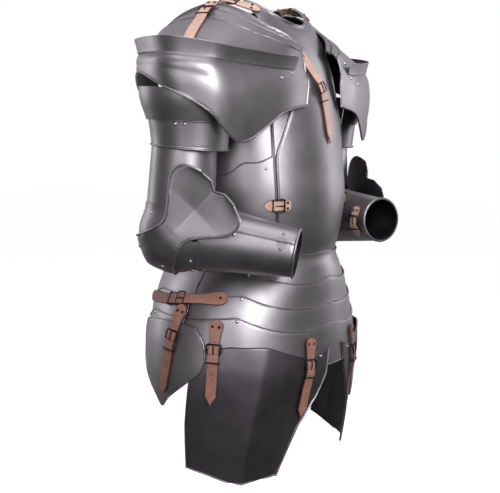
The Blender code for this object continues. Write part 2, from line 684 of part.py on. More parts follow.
TRUNK_STRAPS = [
    # name, layers below it, path of (part, angle, height)
    ("outer_tasset_strap", 6, [(0.0, 70.5, -0.524), (0.5, 70.8, -0.590), (1.0, 72.0, -0.657)]),
    ("inner_tasset_strap", 6, [(0.0, 19.5, -0.560), (0.5, 21.0, -0.625), (1.0, 24.0, -0.692)]),
    ("side_tasset_strap", 7.3, [(0.0, 92.0, -0.506), (0.5, 96.5, -0.575), (1.0, 101.5, -0.648)]),
]


def build_straps(upper_leather, lower_leather, steel):
    """All the straps that show, each with its buckle, and the vambrace hinges."""
    clear = STRAP_CLEARANCE
    for name, (sign, _, _) in ARMS.items():
        for label, layers, path in TRUNK_STRAPS:
            strap(f"{name}_{label}", trunk_place(path, layers * LAYER + clear, sign), lower_leather)
        path = [(0.0, 68.0, -0.490), (0.25, 85.0, -0.494), (0.5, 102.0, -0.498), (1.0, 138.0, -0.503)]
        strap(name + "_skirt_strap", trunk_place(path, 4 * LAYER + clear, sign), lower_leather, steps=14)
        path = [(0.0, 37.0, -0.333), (0.5, 45.5, -0.333), (1.0, 54.0, -0.333)]
        strap(name + "_waist_strap", trunk_place(path, LAYER + clear, sign), upper_leather, shape=SHORT_SHAPE)
        path = [(0.0, 56.0, -0.010), (0.5, 90.0, 0.003), (1.0, 124.0, -0.001)]
        strap(name + "_shoulder_strap", trunk_place(path, LAYER + clear, sign), upper_leather,
              width=0.016, shape=SHORT_SHAPE, steps=12)
        path = [(0.0, 4.05, 0.12), (0.5, 3.95, 1.0), (1.0, 3.6, 1.85)]
        strap(name + "_pauldron_strap", pauldron_place(path, 2 * LAYER + clear, sign), upper_leather, steps=12)
        strap(name + "_vambrace_strap", forearm_place(name, 0.171, -57.0, -135.0, clear), upper_leather,
              shape=SHORT_SHAPE)
        over_seam = forearm_place(name, 0.172, VAMBRACE_SEAM - 22.0, VAMBRACE_SEAM + 22.0, clear)
        strap(name + "_vambrace_hinge", over_seam, steel, width=0.016, shape=HINGE_SHAPE)
    path = [(0.0, 17.0, -0.078), (0.35, 4.0, -0.128), (0.6, 0.0, -0.165), (1.0, -1.0, -0.232)]
    strap("breast_strap", trunk_place(path, LAYER + clear, -1), upper_leather, width=0.018)


def main():
    clear_scene()
    steel = material("satin steel", STEEL, 1.0, 0.36)
    dark = material("dark steel", DARK_STEEL, 1.0, 0.34)
    upper_leather = material("pale leather", UPPER_LEATHER, 0.0, 0.62)
    lower_leather = material("brown leather", LOWER_LEATHER, 0.0, 0.58)
    build_cuirass(steel)
    build_skirt(steel)
    build_tassets(dark)
    build_pauldrons(steel)
    for side in ARMS:
        build_arm(side, steel)
    build_straps(upper_leather, lower_leather, steel)


main()
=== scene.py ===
import json
import math

import bpy
import numpy as np
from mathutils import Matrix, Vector


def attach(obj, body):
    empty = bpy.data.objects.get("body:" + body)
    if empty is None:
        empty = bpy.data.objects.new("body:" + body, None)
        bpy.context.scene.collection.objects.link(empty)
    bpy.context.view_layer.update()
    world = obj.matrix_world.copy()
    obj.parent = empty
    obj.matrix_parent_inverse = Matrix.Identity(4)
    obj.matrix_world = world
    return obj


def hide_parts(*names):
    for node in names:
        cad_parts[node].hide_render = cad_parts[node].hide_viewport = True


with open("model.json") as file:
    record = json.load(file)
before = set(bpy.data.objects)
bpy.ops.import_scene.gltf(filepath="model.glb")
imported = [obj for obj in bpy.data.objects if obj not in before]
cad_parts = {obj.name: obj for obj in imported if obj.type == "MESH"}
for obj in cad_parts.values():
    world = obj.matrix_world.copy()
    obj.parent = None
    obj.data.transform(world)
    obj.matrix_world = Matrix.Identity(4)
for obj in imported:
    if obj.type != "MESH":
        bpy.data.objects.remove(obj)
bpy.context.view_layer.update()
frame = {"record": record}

# Sheet metal, leather and seams
PLATE = 0.0015
LEATHER = 0.0026
LAYER = 0.0023
SEAM = 0.0006
STRAP_CLEARANCE = 0.0009

# Horizontal sections of the trunk from the neck to the hem of the tassets
TRUNK = [
    # half_width, depth to front, depth to back, ahead, height at front, at side, at back
    (0.080, 0.073, 0.076, 0.014, -0.029, 0.011, 0.004),
    (0.104, 0.085, 0.090, 0.015, -0.048, -0.004, -0.012),
    (0.130, 0.103, 0.106, 0.016, -0.088, -0.046, -0.052),
    (0.147, 0.118, 0.119, 0.018, -0.142, -0.116, -0.118),
    (0.155, 0.128, 0.128, 0.019, -0.205, -0.190, -0.190),
    (0.158, 0.136, 0.133, 0.019, -0.268, -0.264, -0.264),
    (0.157, 0.141, 0.134, 0.019, -0.325, -0.325, -0.325),
    (0.147, 0.138, 0.134, 0.016, -0.380, -0.380, -0.380),
    (0.141, 0.134, 0.138, 0.010, -0.423, -0.423, -0.423),
    (0.150, 0.144, 0.152, 0.006, -0.445, -0.445, -0.445),
    (0.168, 0.150, 0.159, 0.003, -0.468, -0.468, -0.468),
    (0.190, 0.153, 0.162, 0.001, -0.503, -0.503, -0.503),
    (0.204, 0.156, 0.160, 0.000, -0.540, -0.540, -0.540),
    (0.212, 0.158, 0.158, 0.000, -0.585, -0.585, -0.585),
    (0.214, 0.157, 0.157, 0.000, -0.635, -0.635, -0.635),
    (0.208, 0.146, 0.148, 0.000, -0.710, -0.710, -0.710),
    (0.196, 0.130, 0.134, 0.000, -0.795, -0.795, -0.795),
]
WAIST = -0.4235
# Angle of the side seam from the front: where the front plates end and the back plates start
FRONT_END = 45.3
SEAM_ANGLE = 45.6

# Front and rear lames of the skirt, from the waist down
LAMES = [
    # top edge at the middle, at the rivet angle, depth of the dip between, bottom at middle, at side
    (-0.4165, -0.411, 0.005, -0.476, -0.462),
    (-0.460, -0.446, 0.014, -0.520, -0.500),
    (-0.503, -0.484, 0.014, -0.557, -0.536),
    (-0.538, -0.518, 0.017, -0.614, -0.580),
]
RIVET_ANGLE = 60.0
SIDE_GAP = 2.0

# Sections of a pauldron from the neck edge to the lower edge
PAULDRON = [
    # front edge, chest, front of arm, front corner, crown, rear, back of arm, back edge
    [(0.040, 0.125, -0.072), (0.066, 0.108, -0.050), (0.088, 0.081, -0.033), (0.1035, 0.0425, -0.010),
     (0.1125, -0.002, 0.0045), (0.120, -0.045, -0.003), (0.126, -0.080, -0.020), (0.126, -0.108, -0.043)],
    [(0.058, 0.131, -0.081), (0.094, 0.119, -0.070), (0.136, 0.084, -0.052), (0.157, 0.050, -0.038),
     (0.165, 0.004, -0.028), (0.166, -0.044, -0.032), (0.154, -0.088, -0.046), (0.132, -0.116, -0.068)],
    [(0.062, 0.138, -0.108), (0.130, 0.130, -0.108), (0.206, 0.103, -0.101), (0.257, 0.081, -0.096),
     (0.284, 0.026, -0.089), (0.246, -0.052, -0.086), (0.182, -0.102, -0.084), (0.126, -0.124, -0.096)],
    [(0.056, 0.141, -0.128), (0.126, 0.138, -0.138), (0.216, 0.115, -0.150), (0.268, 0.087, -0.132),
     (0.298, 0.028, -0.116), (0.258, -0.050, -0.106), (0.190, -0.100, -0.112), (0.112, -0.126, -0.128)],
    [(0.060, 0.1405, -0.168), (0.126, 0.136, -0.182), (0.208, 0.108, -0.228), (0.266, 0.084, -0.178),
     (0.295, 0.030, -0.143), (0.262, -0.047, -0.118), (0.190, -0.099, -0.150), (0.102, -0.124, -0.166)],
]
PAULDRON_END = 7.0

# Arm
ARM_OUT = 0.232
ARM_AHEAD = 0.006
ARM_TOP = (0.222, 0.013, -0.185)
# Centre of the lames that hang from the pauldron around the upper arm
BAND_OUT = 0.217
BAND_AHEAD = 0.0165
ELBOW_HEIGHT = -0.373
CANNON_TOP_RADIUS = 0.0510
CANNON_LOW_RADIUS = 0.0572
FOREARM_RADIUS = 0.0585
FOREARM_TAPER = 0.100
FOREARM_LENGTH = 0.196
# Outer seam of the vambrace, in degrees from its top
VAMBRACE_SEAM = 62.0
CUP_RADIUS = 0.0690
INNER_CUP_RADIUS = 0.0662
# side: (sign of x, turn of the forearm inward, slope of the forearm downward), in degrees
ARMS = {"right": (-1, 24.0, 9.5), "left": (1, 25.0, 0.0)}

# Half-width of the couter at each stage of its path from the inner end to the wing's front
COUTER_WIDTHS = [
    # stage, half width
    (0.0, 0.020), (1.0, 0.038), (2.0, 0.045), (3.0, 0.044), (4.0, 0.036), (4.5, 0.0285), (5.0, 0.0255),
    (5.5, 0.034), (6.0, 0.046), (7.0, 0.0665), (8.0, 0.0650), (8.5, 0.0545), (9.0, 0.036),
]
CUP_STAGES = [(0.0, -80.0), (1.0, -55.0), (2.0, -10.0), (3.0, 30.0), (4.0, 62.0)]
# Path of the wing past the cup: towards the crook of the elbow, and out to the side
WING_PATH = [(4.0, -0.0324, 0.0609), (4.5, -0.010, 0.0686), (5.0, 0.010, 0.0700), (6.0, 0.042, 0.0724),
             (7.0, 0.070, 0.0742), (8.0, 0.094, 0.0752), (9.0, 0.1095, 0.0756)]
WING_FOLD = 0.0070
WING_NOTCH = 0.009

# Grid lines across a rolled edge, as shares of the roll's width
ROLL_LINES = np.array([0.0, 0.06, 0.2, 0.4, 0.6, 0.8, 0.94, 1.03, 1.15, 1.3, 1.6])
SIDES = tuple(ARMS)


# Materials

def add_node(tree, kind, **settings):
    """One shader node with its inputs and properties set by name."""
    node = tree.nodes.new(kind)
    for name, value in settings.items():
        if name in node.inputs:
            node.inputs[name].default_value = value
        else:
            setattr(node, name, value)
    return node


def link(tree, source, output, target, entry):
    """Wire one node's output to another's input."""
    tree.links.new(source.outputs[output], target.inputs[entry])


def noise(tree, scale, detail, stretch=(1.0, 1.0, 1.0)):
    """Noise in the object's own metres, stretched along an axis by a small factor there."""
    place = tree.nodes.new("ShaderNodeTexCoord")
    size = add_node(tree, "ShaderNodeMapping")
    size.inputs["Scale"].default_value = stretch
    link(tree, place, "Object", size, "Vector")
    made = add_node(tree, "ShaderNodeTexNoise", Scale=scale, Detail=detail, Roughness=0.6)
    link(tree, size, "Vector", made, "Vector")
    return made


def ramp(tree, source, low, high, low_at=0.35, high_at=0.65):
    """Colour ramp between two colours, read from a node's factor."""
    made = tree.nodes.new("ShaderNodeValToRGB")
    made.color_ramp.elements[0].position = low_at
    made.color_ramp.elements[0].color = low
    made.color_ramp.elements[1].position = high_at
    made.color_ramp.elements[1].color = high
    tree.links.new(source, made.inputs["Fac"])
    return made


def shift(tree, source, low, high, start=0.3, end=0.7, curve="LINEAR"):
    """Value spread from low to high while a node's output runs from start to end."""
    made = add_node(tree, "ShaderNodeMapRange", interpolation_type=curve)
    for entry, value in (("From Min", start), ("From Max", end), ("To Min", low), ("To Max", high)):
        made.inputs[entry].default_value = value
    tree.links.new(source, made.inputs["Value"])
    return made


def new_material(name):
    """Material with its node tree and Principled shader."""
    made = bpy.data.materials.new(name)
    made.use_nodes = True
    return made, made.node_tree, made.node_tree.nodes["Principled BSDF"]


def steel(name, colour, roughness, cloudy=0.10, metallic=1.0):
    """Satin steel: cloudy colour, smudges in the gloss and fine brushing in two directions."""
    made, tree, shader = new_material(name)
    shader.inputs["Metallic"].default_value = metallic
    clouds = noise(tree, 9.0, 5.0)
    dark = tuple(channel * (1.0 - cloudy) for channel in colour) + (1.0,)
    light = tuple(channel * (1.0 + cloudy) for channel in colour) + (1.0,)
    tint = ramp(tree, clouds.outputs["Fac"], dark, light)
    link(tree, tint, "Color", shader, "Base Color")
    smudges = noise(tree, 26.0, 6.0)
    gloss = shift(tree, smudges.outputs["Fac"], roughness - 0.035, roughness + 0.05)
    link(tree, gloss, "Result", shader, "Roughness")
    brushing = noise(tree, 900.0, 3.0, (1.0, 1.0, 0.06))
    dents = noise(tree, 14.0, 2.0)
    fine = add_node(tree, "ShaderNodeBump", Strength=0.10, Distance=0.0004)
    broad = add_node(tree, "ShaderNodeBump", Strength=0.16, Distance=0.004)
    link(tree, dents, "Fac", broad, "Height")
    link(tree, brushing, "Fac", fine, "Height")
    link(tree, broad, "Normal", fine, "Normal")
    link(tree, fine, "Normal", shader, "Normal")
    return made


def leather(name, light, dark):
    """Strap leather: mottled colour, pores and a soft grain."""
    made, tree, shader = new_material(name)
    shader.inputs["Roughness"].default_value = 0.62
    shader.inputs["Specular IOR Level"].default_value = 0.3
    mottle = noise(tree, 60.0, 5.0)
    tint = ramp(tree, mottle.outputs["Fac"], dark + (1.0,), light + (1.0,), 0.3, 0.72)
    link(tree, tint, "Color", shader, "Base Color")
    pores = add_node(tree, "ShaderNodeTexVoronoi", Scale=1100.0)
    place = tree.nodes.new("ShaderNodeTexCoord")
    link(tree, place, "Object", pores, "Vector")
    grain = noise(tree, 420.0, 4.0)
    first = add_node(tree, "ShaderNodeBump", Strength=0.35, Distance=0.0003)
    second = add_node(tree, "ShaderNodeBump", Strength=0.3, Distance=0.0004)
    link(tree, pores, "Distance", first, "Height")
    link(tree, grain, "Fac", second, "Height")
    link(tree, first, "Normal", second, "Normal")
    link(tree, second, "Normal", shader, "Normal")
    return made


BRIGHT = steel("satin steel", (0.36, 0.34, 0.365), 0.43)
# Lighter, glossier copy of the satin steel for cut edges and rivet heads: a painted highlight standing in for
# the light that catches them.
EDGE_HIGHLIGHT_STEEL = steel("painted highlight steel edge", (0.66, 0.64, 0.67), 0.26, 0.04)
# Darker copy of the satin steel for the front tassets: painted shade, as their slanting faces catch little
# light.
SHADED_STEEL = steel("dark steel", (0.22, 0.20, 0.225), 0.40)
# Near-black steel for the insides of the plates: painted shade for the hollows that light hardly reaches.
SHADED_INSIDE = steel("painted shade inside", (0.035, 0.032, 0.036), 0.55, 0.2, 0.7)
# Black iron for buckles, keepers and strap rivets; also painted shade laid in the punched holes of the
# straps.
IRON_AND_HOLE_SHADE = steel("black iron and painted hole shade", (0.030, 0.026, 0.026), 0.42, 0.3, 0.85)
PALE_LEATHER = leather("pale leather", (0.72, 0.49, 0.415), (0.58, 0.37, 0.31))
BROWN_LEATHER = leather("brown leather", (0.40, 0.20, 0.16), (0.29, 0.135, 0.105))
PALE_EDGE = leather("pale leather edge", (0.36, 0.17, 0.12), (0.22, 0.10, 0.07))
BROWN_EDGE = leather("brown leather edge", (0.17, 0.07, 0.05), (0.10, 0.04, 0.03))


# Surfaces

def smooth(stages, values, at):
    """Smooth curve through values at stages, read at one or many places."""
    stages = np.asarray(stages, dtype=float)
    values = np.asarray(values, dtype=float)
    at = np.clip(np.asarray(at, dtype=float), stages[0], stages[-1])
    slopes = np.gradient(values, stages, axis=0)
    cell = np.clip(np.searchsorted(stages, at, side="right") - 1, 0, len(stages) - 2)
    span = stages[cell + 1] - stages[cell]
    part = (at - stages[cell]) / span
    if values.ndim > 1:
        shape = part.shape + (1,) * (values.ndim - 1)
        part = part.reshape(shape)
        span = span.reshape(shape)
    square = part * part
    cube = square * part
    return ((2 * cube - 3 * square + 1) * values[cell] + (cube - 2 * square + part) * span * slopes[cell]
            + (3 * square - 2 * cube) * values[cell + 1] + (cube - square) * span * slopes[cell + 1])


def table_curve(table, at, column=1):
    """Smooth curve through one column of a table whose first column is the stage."""
    return smooth([row[0] for row in table], [row[column] for row in table], at)


def placed(out, ahead, height, sign):
    """World points from distances out, ahead and up, on the side with that sign of x."""
    return np.stack([sign * np.asarray(out), -np.asarray(ahead), np.asarray(height)], axis=-1)


def trunk_point(angle, stage, sign=-1):
    """Point on the trunk at an angle from the front, in degrees, and a stage of the table."""
    values = smooth(np.arange(len(TRUNK)), np.array(TRUNK), stage)
    turn = np.radians(angle)
    front = np.maximum(np.cos(turn), 0.0) ** 2
    back = np.maximum(-np.cos(turn), 0.0) ** 2
    side_height = values[..., 5]
    height = side_height + (values[..., 4] - side_height) * front + (values[..., 6] - side_height) * back
    out = values[..., 0] * np.sin(turn)
    depth = np.where(np.cos(turn) > 0.0, values[..., 1], values[..., 2])
    ahead = values[..., 3] + depth * np.cos(turn)
    return placed(out, ahead, height, sign)


def trunk_stage(angle, height):
    """Stage of the trunk table at a height, for one angle."""
    stages = np.linspace(0.0, len(TRUNK) - 1.0, 400)
    heights = trunk_point(np.full_like(stages, angle), stages)[..., 2]
    return float(np.interp(-height, -heights, stages))


# Where the breastplate's side edge lies: (stage of the trunk, angle from the front)
BREAST_EDGE = [(0.0, 80.0), (0.6, 70.0), (1.2, 56.0), (2.0, 42.0), (2.8, 32.0), (3.3, 29.0), (3.85, 35.0),
               (4.3, 40.0), (4.75, FRONT_END), (8.2, FRONT_END)]
# Where the back plate's side edge lies
BACK_EDGE = [(0.0, 100.0), (0.8, 106.0), (1.6, 112.0), (2.3, 112.0), (2.8, 104.0), (3.1, 88.0),
             (3.4, 70.0), (3.65, 56.0), (3.85, SEAM_ANGLE), (5.7, SEAM_ANGLE)]
# Top edge of the lower back plate: (angle, height)
LOWER_BACK_EDGE = [(45.0, -0.248), (57.0, -0.261), (68.0, -0.263), (74.0, -0.275), (90.0, -0.282),
                   (120.0, -0.262), (150.0, -0.232), (180.0, -0.205)]


def lame_top(row, angle):
    """Height of a skirt lame's scalloped top edge at an angle from the nearer middle."""
    middle, rivet, dip = row[0], row[1], row[2]
    near = min(abs(angle) / RIVET_ANGLE, 1.0)
    wave = abs(math.sin(math.pi * angle / RIVET_ANGLE))
    depth = dip if abs(angle) < RIVET_ANGLE else dip * 0.25
    return middle + (rivet - middle) * near - depth * wave


# Front tasset: angle of the inner edge, ridge and outer edge by part of the way down
TASSET_EDGES = [
    # part down, inner edge, ridge, outer edge
    (0.0, 6.0, 44.0, 81.0),
    (0.2, 8.0, 46.5, 84.0),
    (0.6, 24.0, 51.5, 88.0),
    (1.0, 34.0, 56.0, 90.0),
]
TASSET_RIDGE = 0.008
RIDGE_REACH = 19.0
# Side tasset: height and half angle from its own middle
SIDE_TASSET = [(-0.536, 22.0), (-0.556, 27.0), (-0.580, 29.0), (-0.604, 27.0), (-0.623, 20.0),
               (-0.640, 12.5), (-0.655, 6.0), (-0.671, 1.0)]
SIDE_TASSET_ANGLE = 104.0


def pauldron_point(across, down, sign):
    """Point on a pauldron: across runs 0 to 7 from front to back, down runs 0 to 4 from the neck."""
    table = np.array(PAULDRON)
    rows = smooth(np.arange(len(PAULDRON)), table, np.asarray(down, dtype=float))
    point = smooth(np.arange(table.shape[1]), rows, across)
    return placed(point[..., 0], point[..., 1], point[..., 2], sign)


def surface_place(surface, centre, u, v, lift=0.0, step=0.02):
    """Point and outward normal of a surface(u, v), moved out by lift."""
    point = surface(u, v)
    east = surface(u + step, v) - surface(u - step, v)
    south = surface(u, v + step) - surface(u, v - step)
    normal = np.cross(east, south)
    normal /= np.linalg.norm(normal)
    if np.dot(normal, point - centre) < 0.0:
        normal = -normal
    return point + normal * lift, normal


def trunk_spot(angle, height, lift, sign=-1):
    """Point and normal on the trunk at an angle and a height."""
    stage = trunk_stage(angle, height)
    centre = np.array([0.0, 0.0, trunk_point(angle, stage, sign)[2]])

    def surface(u, v):
        return trunk_point(angle + 10.0 * u, stage + v, sign)
    return surface_place(surface, centre, 0.0, 0.0, lift)


def pauldron_spot(across, down, lift, sign):
    """Point and normal on a pauldron."""
    centre = np.array([sign * 0.16, 0.0, -0.20])

    def surface(u, v):
        return pauldron_point(np.clip(u, 0.0, PAULDRON_END), np.clip(v, 0.0, 4.0), sign)
    return surface_place(surface, centre, across, down, lift, 0.05)


# Meshes

def grid_normals(points, ring, centre):
    """Unit normals of a grid of points, facing away from centre."""
    if ring:
        along = np.roll(points, -1, axis=1) - np.roll(points, 1, axis=1)
    else:
        along = np.gradient(points, axis=1)
    down = np.gradient(points, axis=0)
    normals = np.cross(along, down)
    normals /= np.maximum(np.linalg.norm(normals, axis=-1, keepdims=True), 1e-12)
    if np.sum(normals * (points - centre)) < 0:
        normals = -normals
    return normals


def body_of(node):
    """Name of the body that holds a node."""
    for body, nodes in frame["record"]["behaviour"]["bodies"].items():
        if node in nodes:
            return body
    return "suit"


def make_object(name, vertices, faces, finishes, slots, body, flip_check=True):
    """Mesh object on a body, its faces given a finish by number."""
    mesh = bpy.data.meshes.new(name)
    mesh.from_pydata([tuple(vertex) for vertex in vertices], [], faces)
    for finish in finishes:
        mesh.materials.append(finish)
    mesh.polygons.foreach_set("material_index", slots)
    if flip_check:
        places = np.asarray(vertices)
        quads = np.array([(face[0], face[1], face[2], face[-1]) for face in faces])
        first, second, third, fourth = (places[quads[:, corner]] for corner in range(4))
        volume = np.sum(first * np.cross(second, third)) + np.sum(first * np.cross(third, fourth))
        if volume < 0.0:
            mesh.flip_normals()
    mesh.shade_smooth()
    mesh.set_sharp_from_angle(angle=math.radians(38.0))
    made = bpy.data.objects.new(name, mesh)
    bpy.context.scene.collection.objects.link(made)
    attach(made, body)
    return made


def spaced(count, first=0.0, last=0.0):
    """Places from 0 to 1 with close lines over the rolls at both ends, each given as a share."""
    start = ROLL_LINES * first if first else np.array([0.0])
    end = 1.0 - ROLL_LINES[::-1] * last if last else np.array([1.0])
    middle = np.linspace(start[-1], end[0], count + 1)[1:-1]
    return np.concatenate([start, middle, end])


def roll_height(distance, radius):
    """Height of a rolled edge at a distance from it: a bead with a fine groove beside it."""
    bead = np.sqrt(np.clip(radius ** 2 - (distance - radius) ** 2, 0.0, None)) * 1.1
    groove = 0.0005 * np.exp(-((distance - 2.3 * radius) / (0.35 * radius)) ** 2)
    return bead - groove


def rolled(points, rolls):
    """Lift of a grid for the rolled edges named in rolls: top, bottom, left or right with a radius."""
    across = np.linalg.norm(np.diff(points, axis=1), axis=-1)
    down = np.linalg.norm(np.diff(points, axis=0), axis=-1)
    zero_column = np.zeros((points.shape[0], 1))
    zero_row = np.zeros((1, points.shape[1]))
    distances = {
        "left": np.concatenate([zero_column, np.cumsum(across, axis=1)], axis=1),
        "right": np.concatenate([np.cumsum(across[:, ::-1], axis=1)[:, ::-1], zero_column], axis=1),
        "top": np.concatenate([zero_row, np.cumsum(down, axis=0)], axis=0),
        "bottom": np.concatenate([np.cumsum(down[::-1], axis=0)[::-1], zero_row], axis=0),
    }
    lift = np.zeros(points.shape[:2])
    for edge, radius in rolls.items():
        height = roll_height(distances[edge], radius)
        lift = np.where(np.abs(height) > np.abs(lift), height, lift)
    return lift


def plate(node, points, finish, centre, ring=False, lift=0.0, rolls=None):
    """Plate of sheet metal over a grid, with rolled and bevelled edges, painted shade on its inside and a
    painted highlight on its cut edges.
    """
    points = np.asarray(points, dtype=float)
    rows, columns = points.shape[:2]
    normals = grid_normals(points, ring, np.asarray(centre, dtype=float))
    base = points + normals * np.broadcast_to(np.asarray(lift), points.shape[:2])[..., None]
    outer = base + normals * rolled(points, rolls or {})[..., None]
    inner = base - normals * PLATE
    vertices = np.concatenate([outer.reshape(-1, 3), inner.reshape(-1, 3)])
    count = rows * columns
    index = np.arange(count).reshape(rows, columns)
    if ring:
        index = np.concatenate([index, index[:, :1]], axis=1)
    quads = np.stack([index[:-1, :-1], index[:-1, 1:], index[1:, 1:], index[1:, :-1]], axis=-1).reshape(-1, 4)
    faces = quads.tolist() + (quads[:, ::-1] + count).tolist()
    # Outer faces take the given finish, inner faces the near-black painted shade, and the cut edge faces
    # (slot 2 below) the lighter painted highlight steel.
    slots = [0] * len(quads) + [1] * len(quads)
    loops = [index[0][::-1], index[-1]]
    if not ring:
        loops += [index[:, 0], index[:, -1][::-1]]
    for loop in loops:
        for first, second in zip(loop[:-1], loop[1:]):
            faces.append([int(first), int(second), int(second) + count, int(first) + count])
            slots.append(2)
    made = make_object(node + "_plate", vertices, faces, (finish, SHADED_INSIDE, EDGE_HIGHLIGHT_STEEL), slots, body_of(node))
    bevel = made.modifiers.new("edge", "BEVEL")
    bevel.width = 0.0005
    bevel.segments = 2
    bevel.limit_method = "ANGLE"
    bevel.angle_limit = math.radians(50.0)
    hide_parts(node)
    return made


class Parts:
    """Vertices and faces gathered for one object made of many small closed shapes."""

    def __init__(self):
        self.vertices = []
        self.faces = []
        self.slots = []

    def add(self, vertices, faces, slot=0):
        start = len(self.vertices)
        self.vertices += [np.asarray(vertex, dtype=float) for vertex in vertices]
        self.faces += [[start + corner for corner in face] for face in faces]
        self.slots += [slot] * len(faces)

    def build(self, name, finishes, body):
        return make_object(name, self.vertices, self.faces, finishes, self.slots, body, False)


def frame_along(normal, along):
    """Unit normal, unit direction along and unit direction across."""
    normal = normal / np.linalg.norm(normal)
    along = along - normal * np.dot(along, normal)
    along = along / np.linalg.norm(along)
    return normal, along, np.cross(normal, along)


def add_dome(parts, point, normal, radius, height, slot=0, sides=14, rings=4):
    """Domed rivet head on a short skirt that reaches just under the surface."""
    normal, first, second = frame_along(normal, np.array([0.31, 0.52, 0.79]))
    vertices = []
    profile = [(radius, -0.0006)] + [(radius * math.cos(step * math.pi / 2 / rings),
                                      0.0003 + height * math.sin(step * math.pi / 2 / rings))
                                     for step in range(rings)]
    for size, rise in profile:
        for side in range(sides):
            turn = 2.0 * math.pi * side / sides
            vertices.append(point + normal * rise + (first * math.cos(turn) + second * math.sin(turn)) * size)
    faces = []
    for ring in range(len(profile) - 1):
        for side in range(sides):
            beside = (side + 1) % sides
            low, high = ring * sides, (ring + 1) * sides
            faces.append([low + side, low + beside, high + beside, high + side])
    top = len(vertices)
    vertices.append(point + normal * (0.0003 + height))
    last = (len(profile) - 1) * sides
    faces += [[last + side, last + (side + 1) % sides, top] for side in range(sides)]
    faces.append([side for side in reversed(range(sides))])
    parts.add(vertices, faces, slot)


def add_tube(parts, path, radius, closed=False, sides=8, up=None):
    """Round wire along a path; up keeps its sides from twisting."""
    path = [np.asarray(point, dtype=float) for point in path]
    count = len(path)
    vertices = []
    side_hint = np.array([0.2, 0.35, 0.9]) if up is None else up
    for index in range(count):
        before = path[index - 1] if index or closed else path[0]
        after = path[(index + 1) % count] if index < count - 1 or closed else path[-1]
        tangent = (after - before) / np.linalg.norm(after - before)
        side = side_hint - tangent * np.dot(side_hint, tangent)
        side /= np.linalg.norm(side)
        side_hint = side if up is None else side_hint
        other = np.cross(tangent, side)
        for step in range(sides):
            turn = 2.0 * math.pi * step / sides
            vertices.append(path[index] + side * math.cos(turn) * radius + other * math.sin(turn) * radius)
    faces = []
    for index in range(count if closed else count - 1):
        low, high = index * sides, ((index + 1) % count) * sides
        for step in range(sides):
            beside = (step + 1) % sides
            faces.append([low + step, low + beside, high + beside, high + step])
    if not closed:
        faces.append([step for step in reversed(range(sides))])
        faces.append([(count - 1) * sides + step for step in range(sides)])
    parts.add(vertices, faces)


def rounded_loop(centre, first, second, half_first, half_second, corner):
    """Points of a rectangle with round corners."""
    points = []
    for quarter, (a, b) in enumerate(((1, 1), (-1, 1), (-1, -1), (1, -1))):
        for step in range(5):
            turn = math.pi / 2 * (quarter + step / 4.0)
            points.append(centre + first * (a * (half_first - corner) + corner * math.cos(turn))
                          + second * (b * (half_second - corner) + corner * math.sin(turn)))
    return points


RIVETS = {}


def rivet(body, point, normal, radius):
    """Rivet head to be built with the others of its body."""
    RIVETS.setdefault(body, []).append((point, normal, radius))


# Cuirass

def stage_patch(limits, stages, shares, sign=-1):
    """Grid on the trunk by rows of stages, each between its own two angles."""
    grid = np.zeros((len(stages), len(shares), 3))
    for row, stage in enumerate(stages):
        low, high = limits(stage)
        grid[row] = trunk_point(low + (high - low) * shares, np.full(len(shares), stage), sign)
    return grid


def trunk_patch(low, high, top, bottom, shares, parts, sign=-1):
    """Grid on the trunk between two angles; top and bottom give the heights, parts the rows between."""
    grid = np.zeros((len(parts), len(shares), 3))
    for column, share in enumerate(shares):
        angle = low + (high - low) * share
        start = trunk_stage(angle, top(angle))
        end = trunk_stage(angle, bottom(angle))
        grid[:, column] = trunk_point(np.full(len(parts), angle), start + (end - start) * parts, sign)
    return grid


def stages_between(first, last, count, roll=0.0):
    """Stages of the trunk table with close rows over a roll at the first of them."""
    return first + (last - first) * spaced(count, roll)


def edge_angle(table, stage):
    """Angle of a plate's side edge at a stage."""
    return float(np.interp(stage, [row[0] for row in table], [row[1] for row in table]))


def soft_edge(table):
    """Side edge with its corners rounded, by stage."""
    def angle(stage):
        near = [edge_angle(table, min(max(stage + offset, table[0][0]), table[-1][0]))
                for offset in (-0.16, -0.08, 0.0, 0.08, 0.16)]
        return sum(near) / len(near)
    return angle


# Angle by which the gusset reaches in under the breastplate
GUSSET_LAP = 5.0


def build_cuirass():
    """Breastplate, side gussets and the two back plates, with their rivets."""
    edge = soft_edge(BREAST_EDGE)
    grid = stage_patch(lambda stage: (-edge(stage), edge(stage)), stages_between(0.0, 8.01, 60, 0.018),
                       spaced(44, 0.020, 0.020))
    plate("breastplate", grid, BRIGHT, (0, 0, -0.25), lift=LAYER,
          rolls={"top": 0.0026, "left": 0.0019, "right": 0.0019})

    def gusset(stage):
        return min(edge(stage), FRONT_END) - GUSSET_LAP, FRONT_END

    for name, (sign, _, _) in ARMS.items():
        grid = stage_patch(gusset, np.linspace(3.05, 4.9, 20), np.linspace(0.0, 1.0, 14), sign)
        plate(name + "_gusset", grid, BRIGHT, (0, 0, -0.20))
    back = soft_edge(BACK_EDGE)
    grid = stage_patch(lambda stage: (back(stage), 360.0 - back(stage)), stages_between(0.0, 5.6, 50, 0.024),
                       spaced(60, 0.012, 0.012))
    plate("back_upper", grid, BRIGHT, (0, 0, -0.20), rolls={"top": 0.0026, "left": 0.0018, "right": 0.0018})

    def top(angle):
        return float(table_curve(LOWER_BACK_EDGE, min(angle, 360.0 - angle)))

    grid = trunk_patch(SEAM_ANGLE, 360.0 - SEAM_ANGLE, top, lambda _: WAIST, spaced(64, 0.008, 0.008),
                       spaced(24, 0.02))
    plate("back_lower", grid, BRIGHT, (0, 0, -0.35), lift=LAYER,
          rolls={"top": 0.0011, "left": 0.0013, "right": 0.0013})
    for sign in (-1, 1):
        for angle, height in ((SEAM_ANGLE + 6.0, -0.272), (112.0, -0.292)):
            rivet("suit", *trunk_spot(angle, height, LAYER, sign), 0.0028)


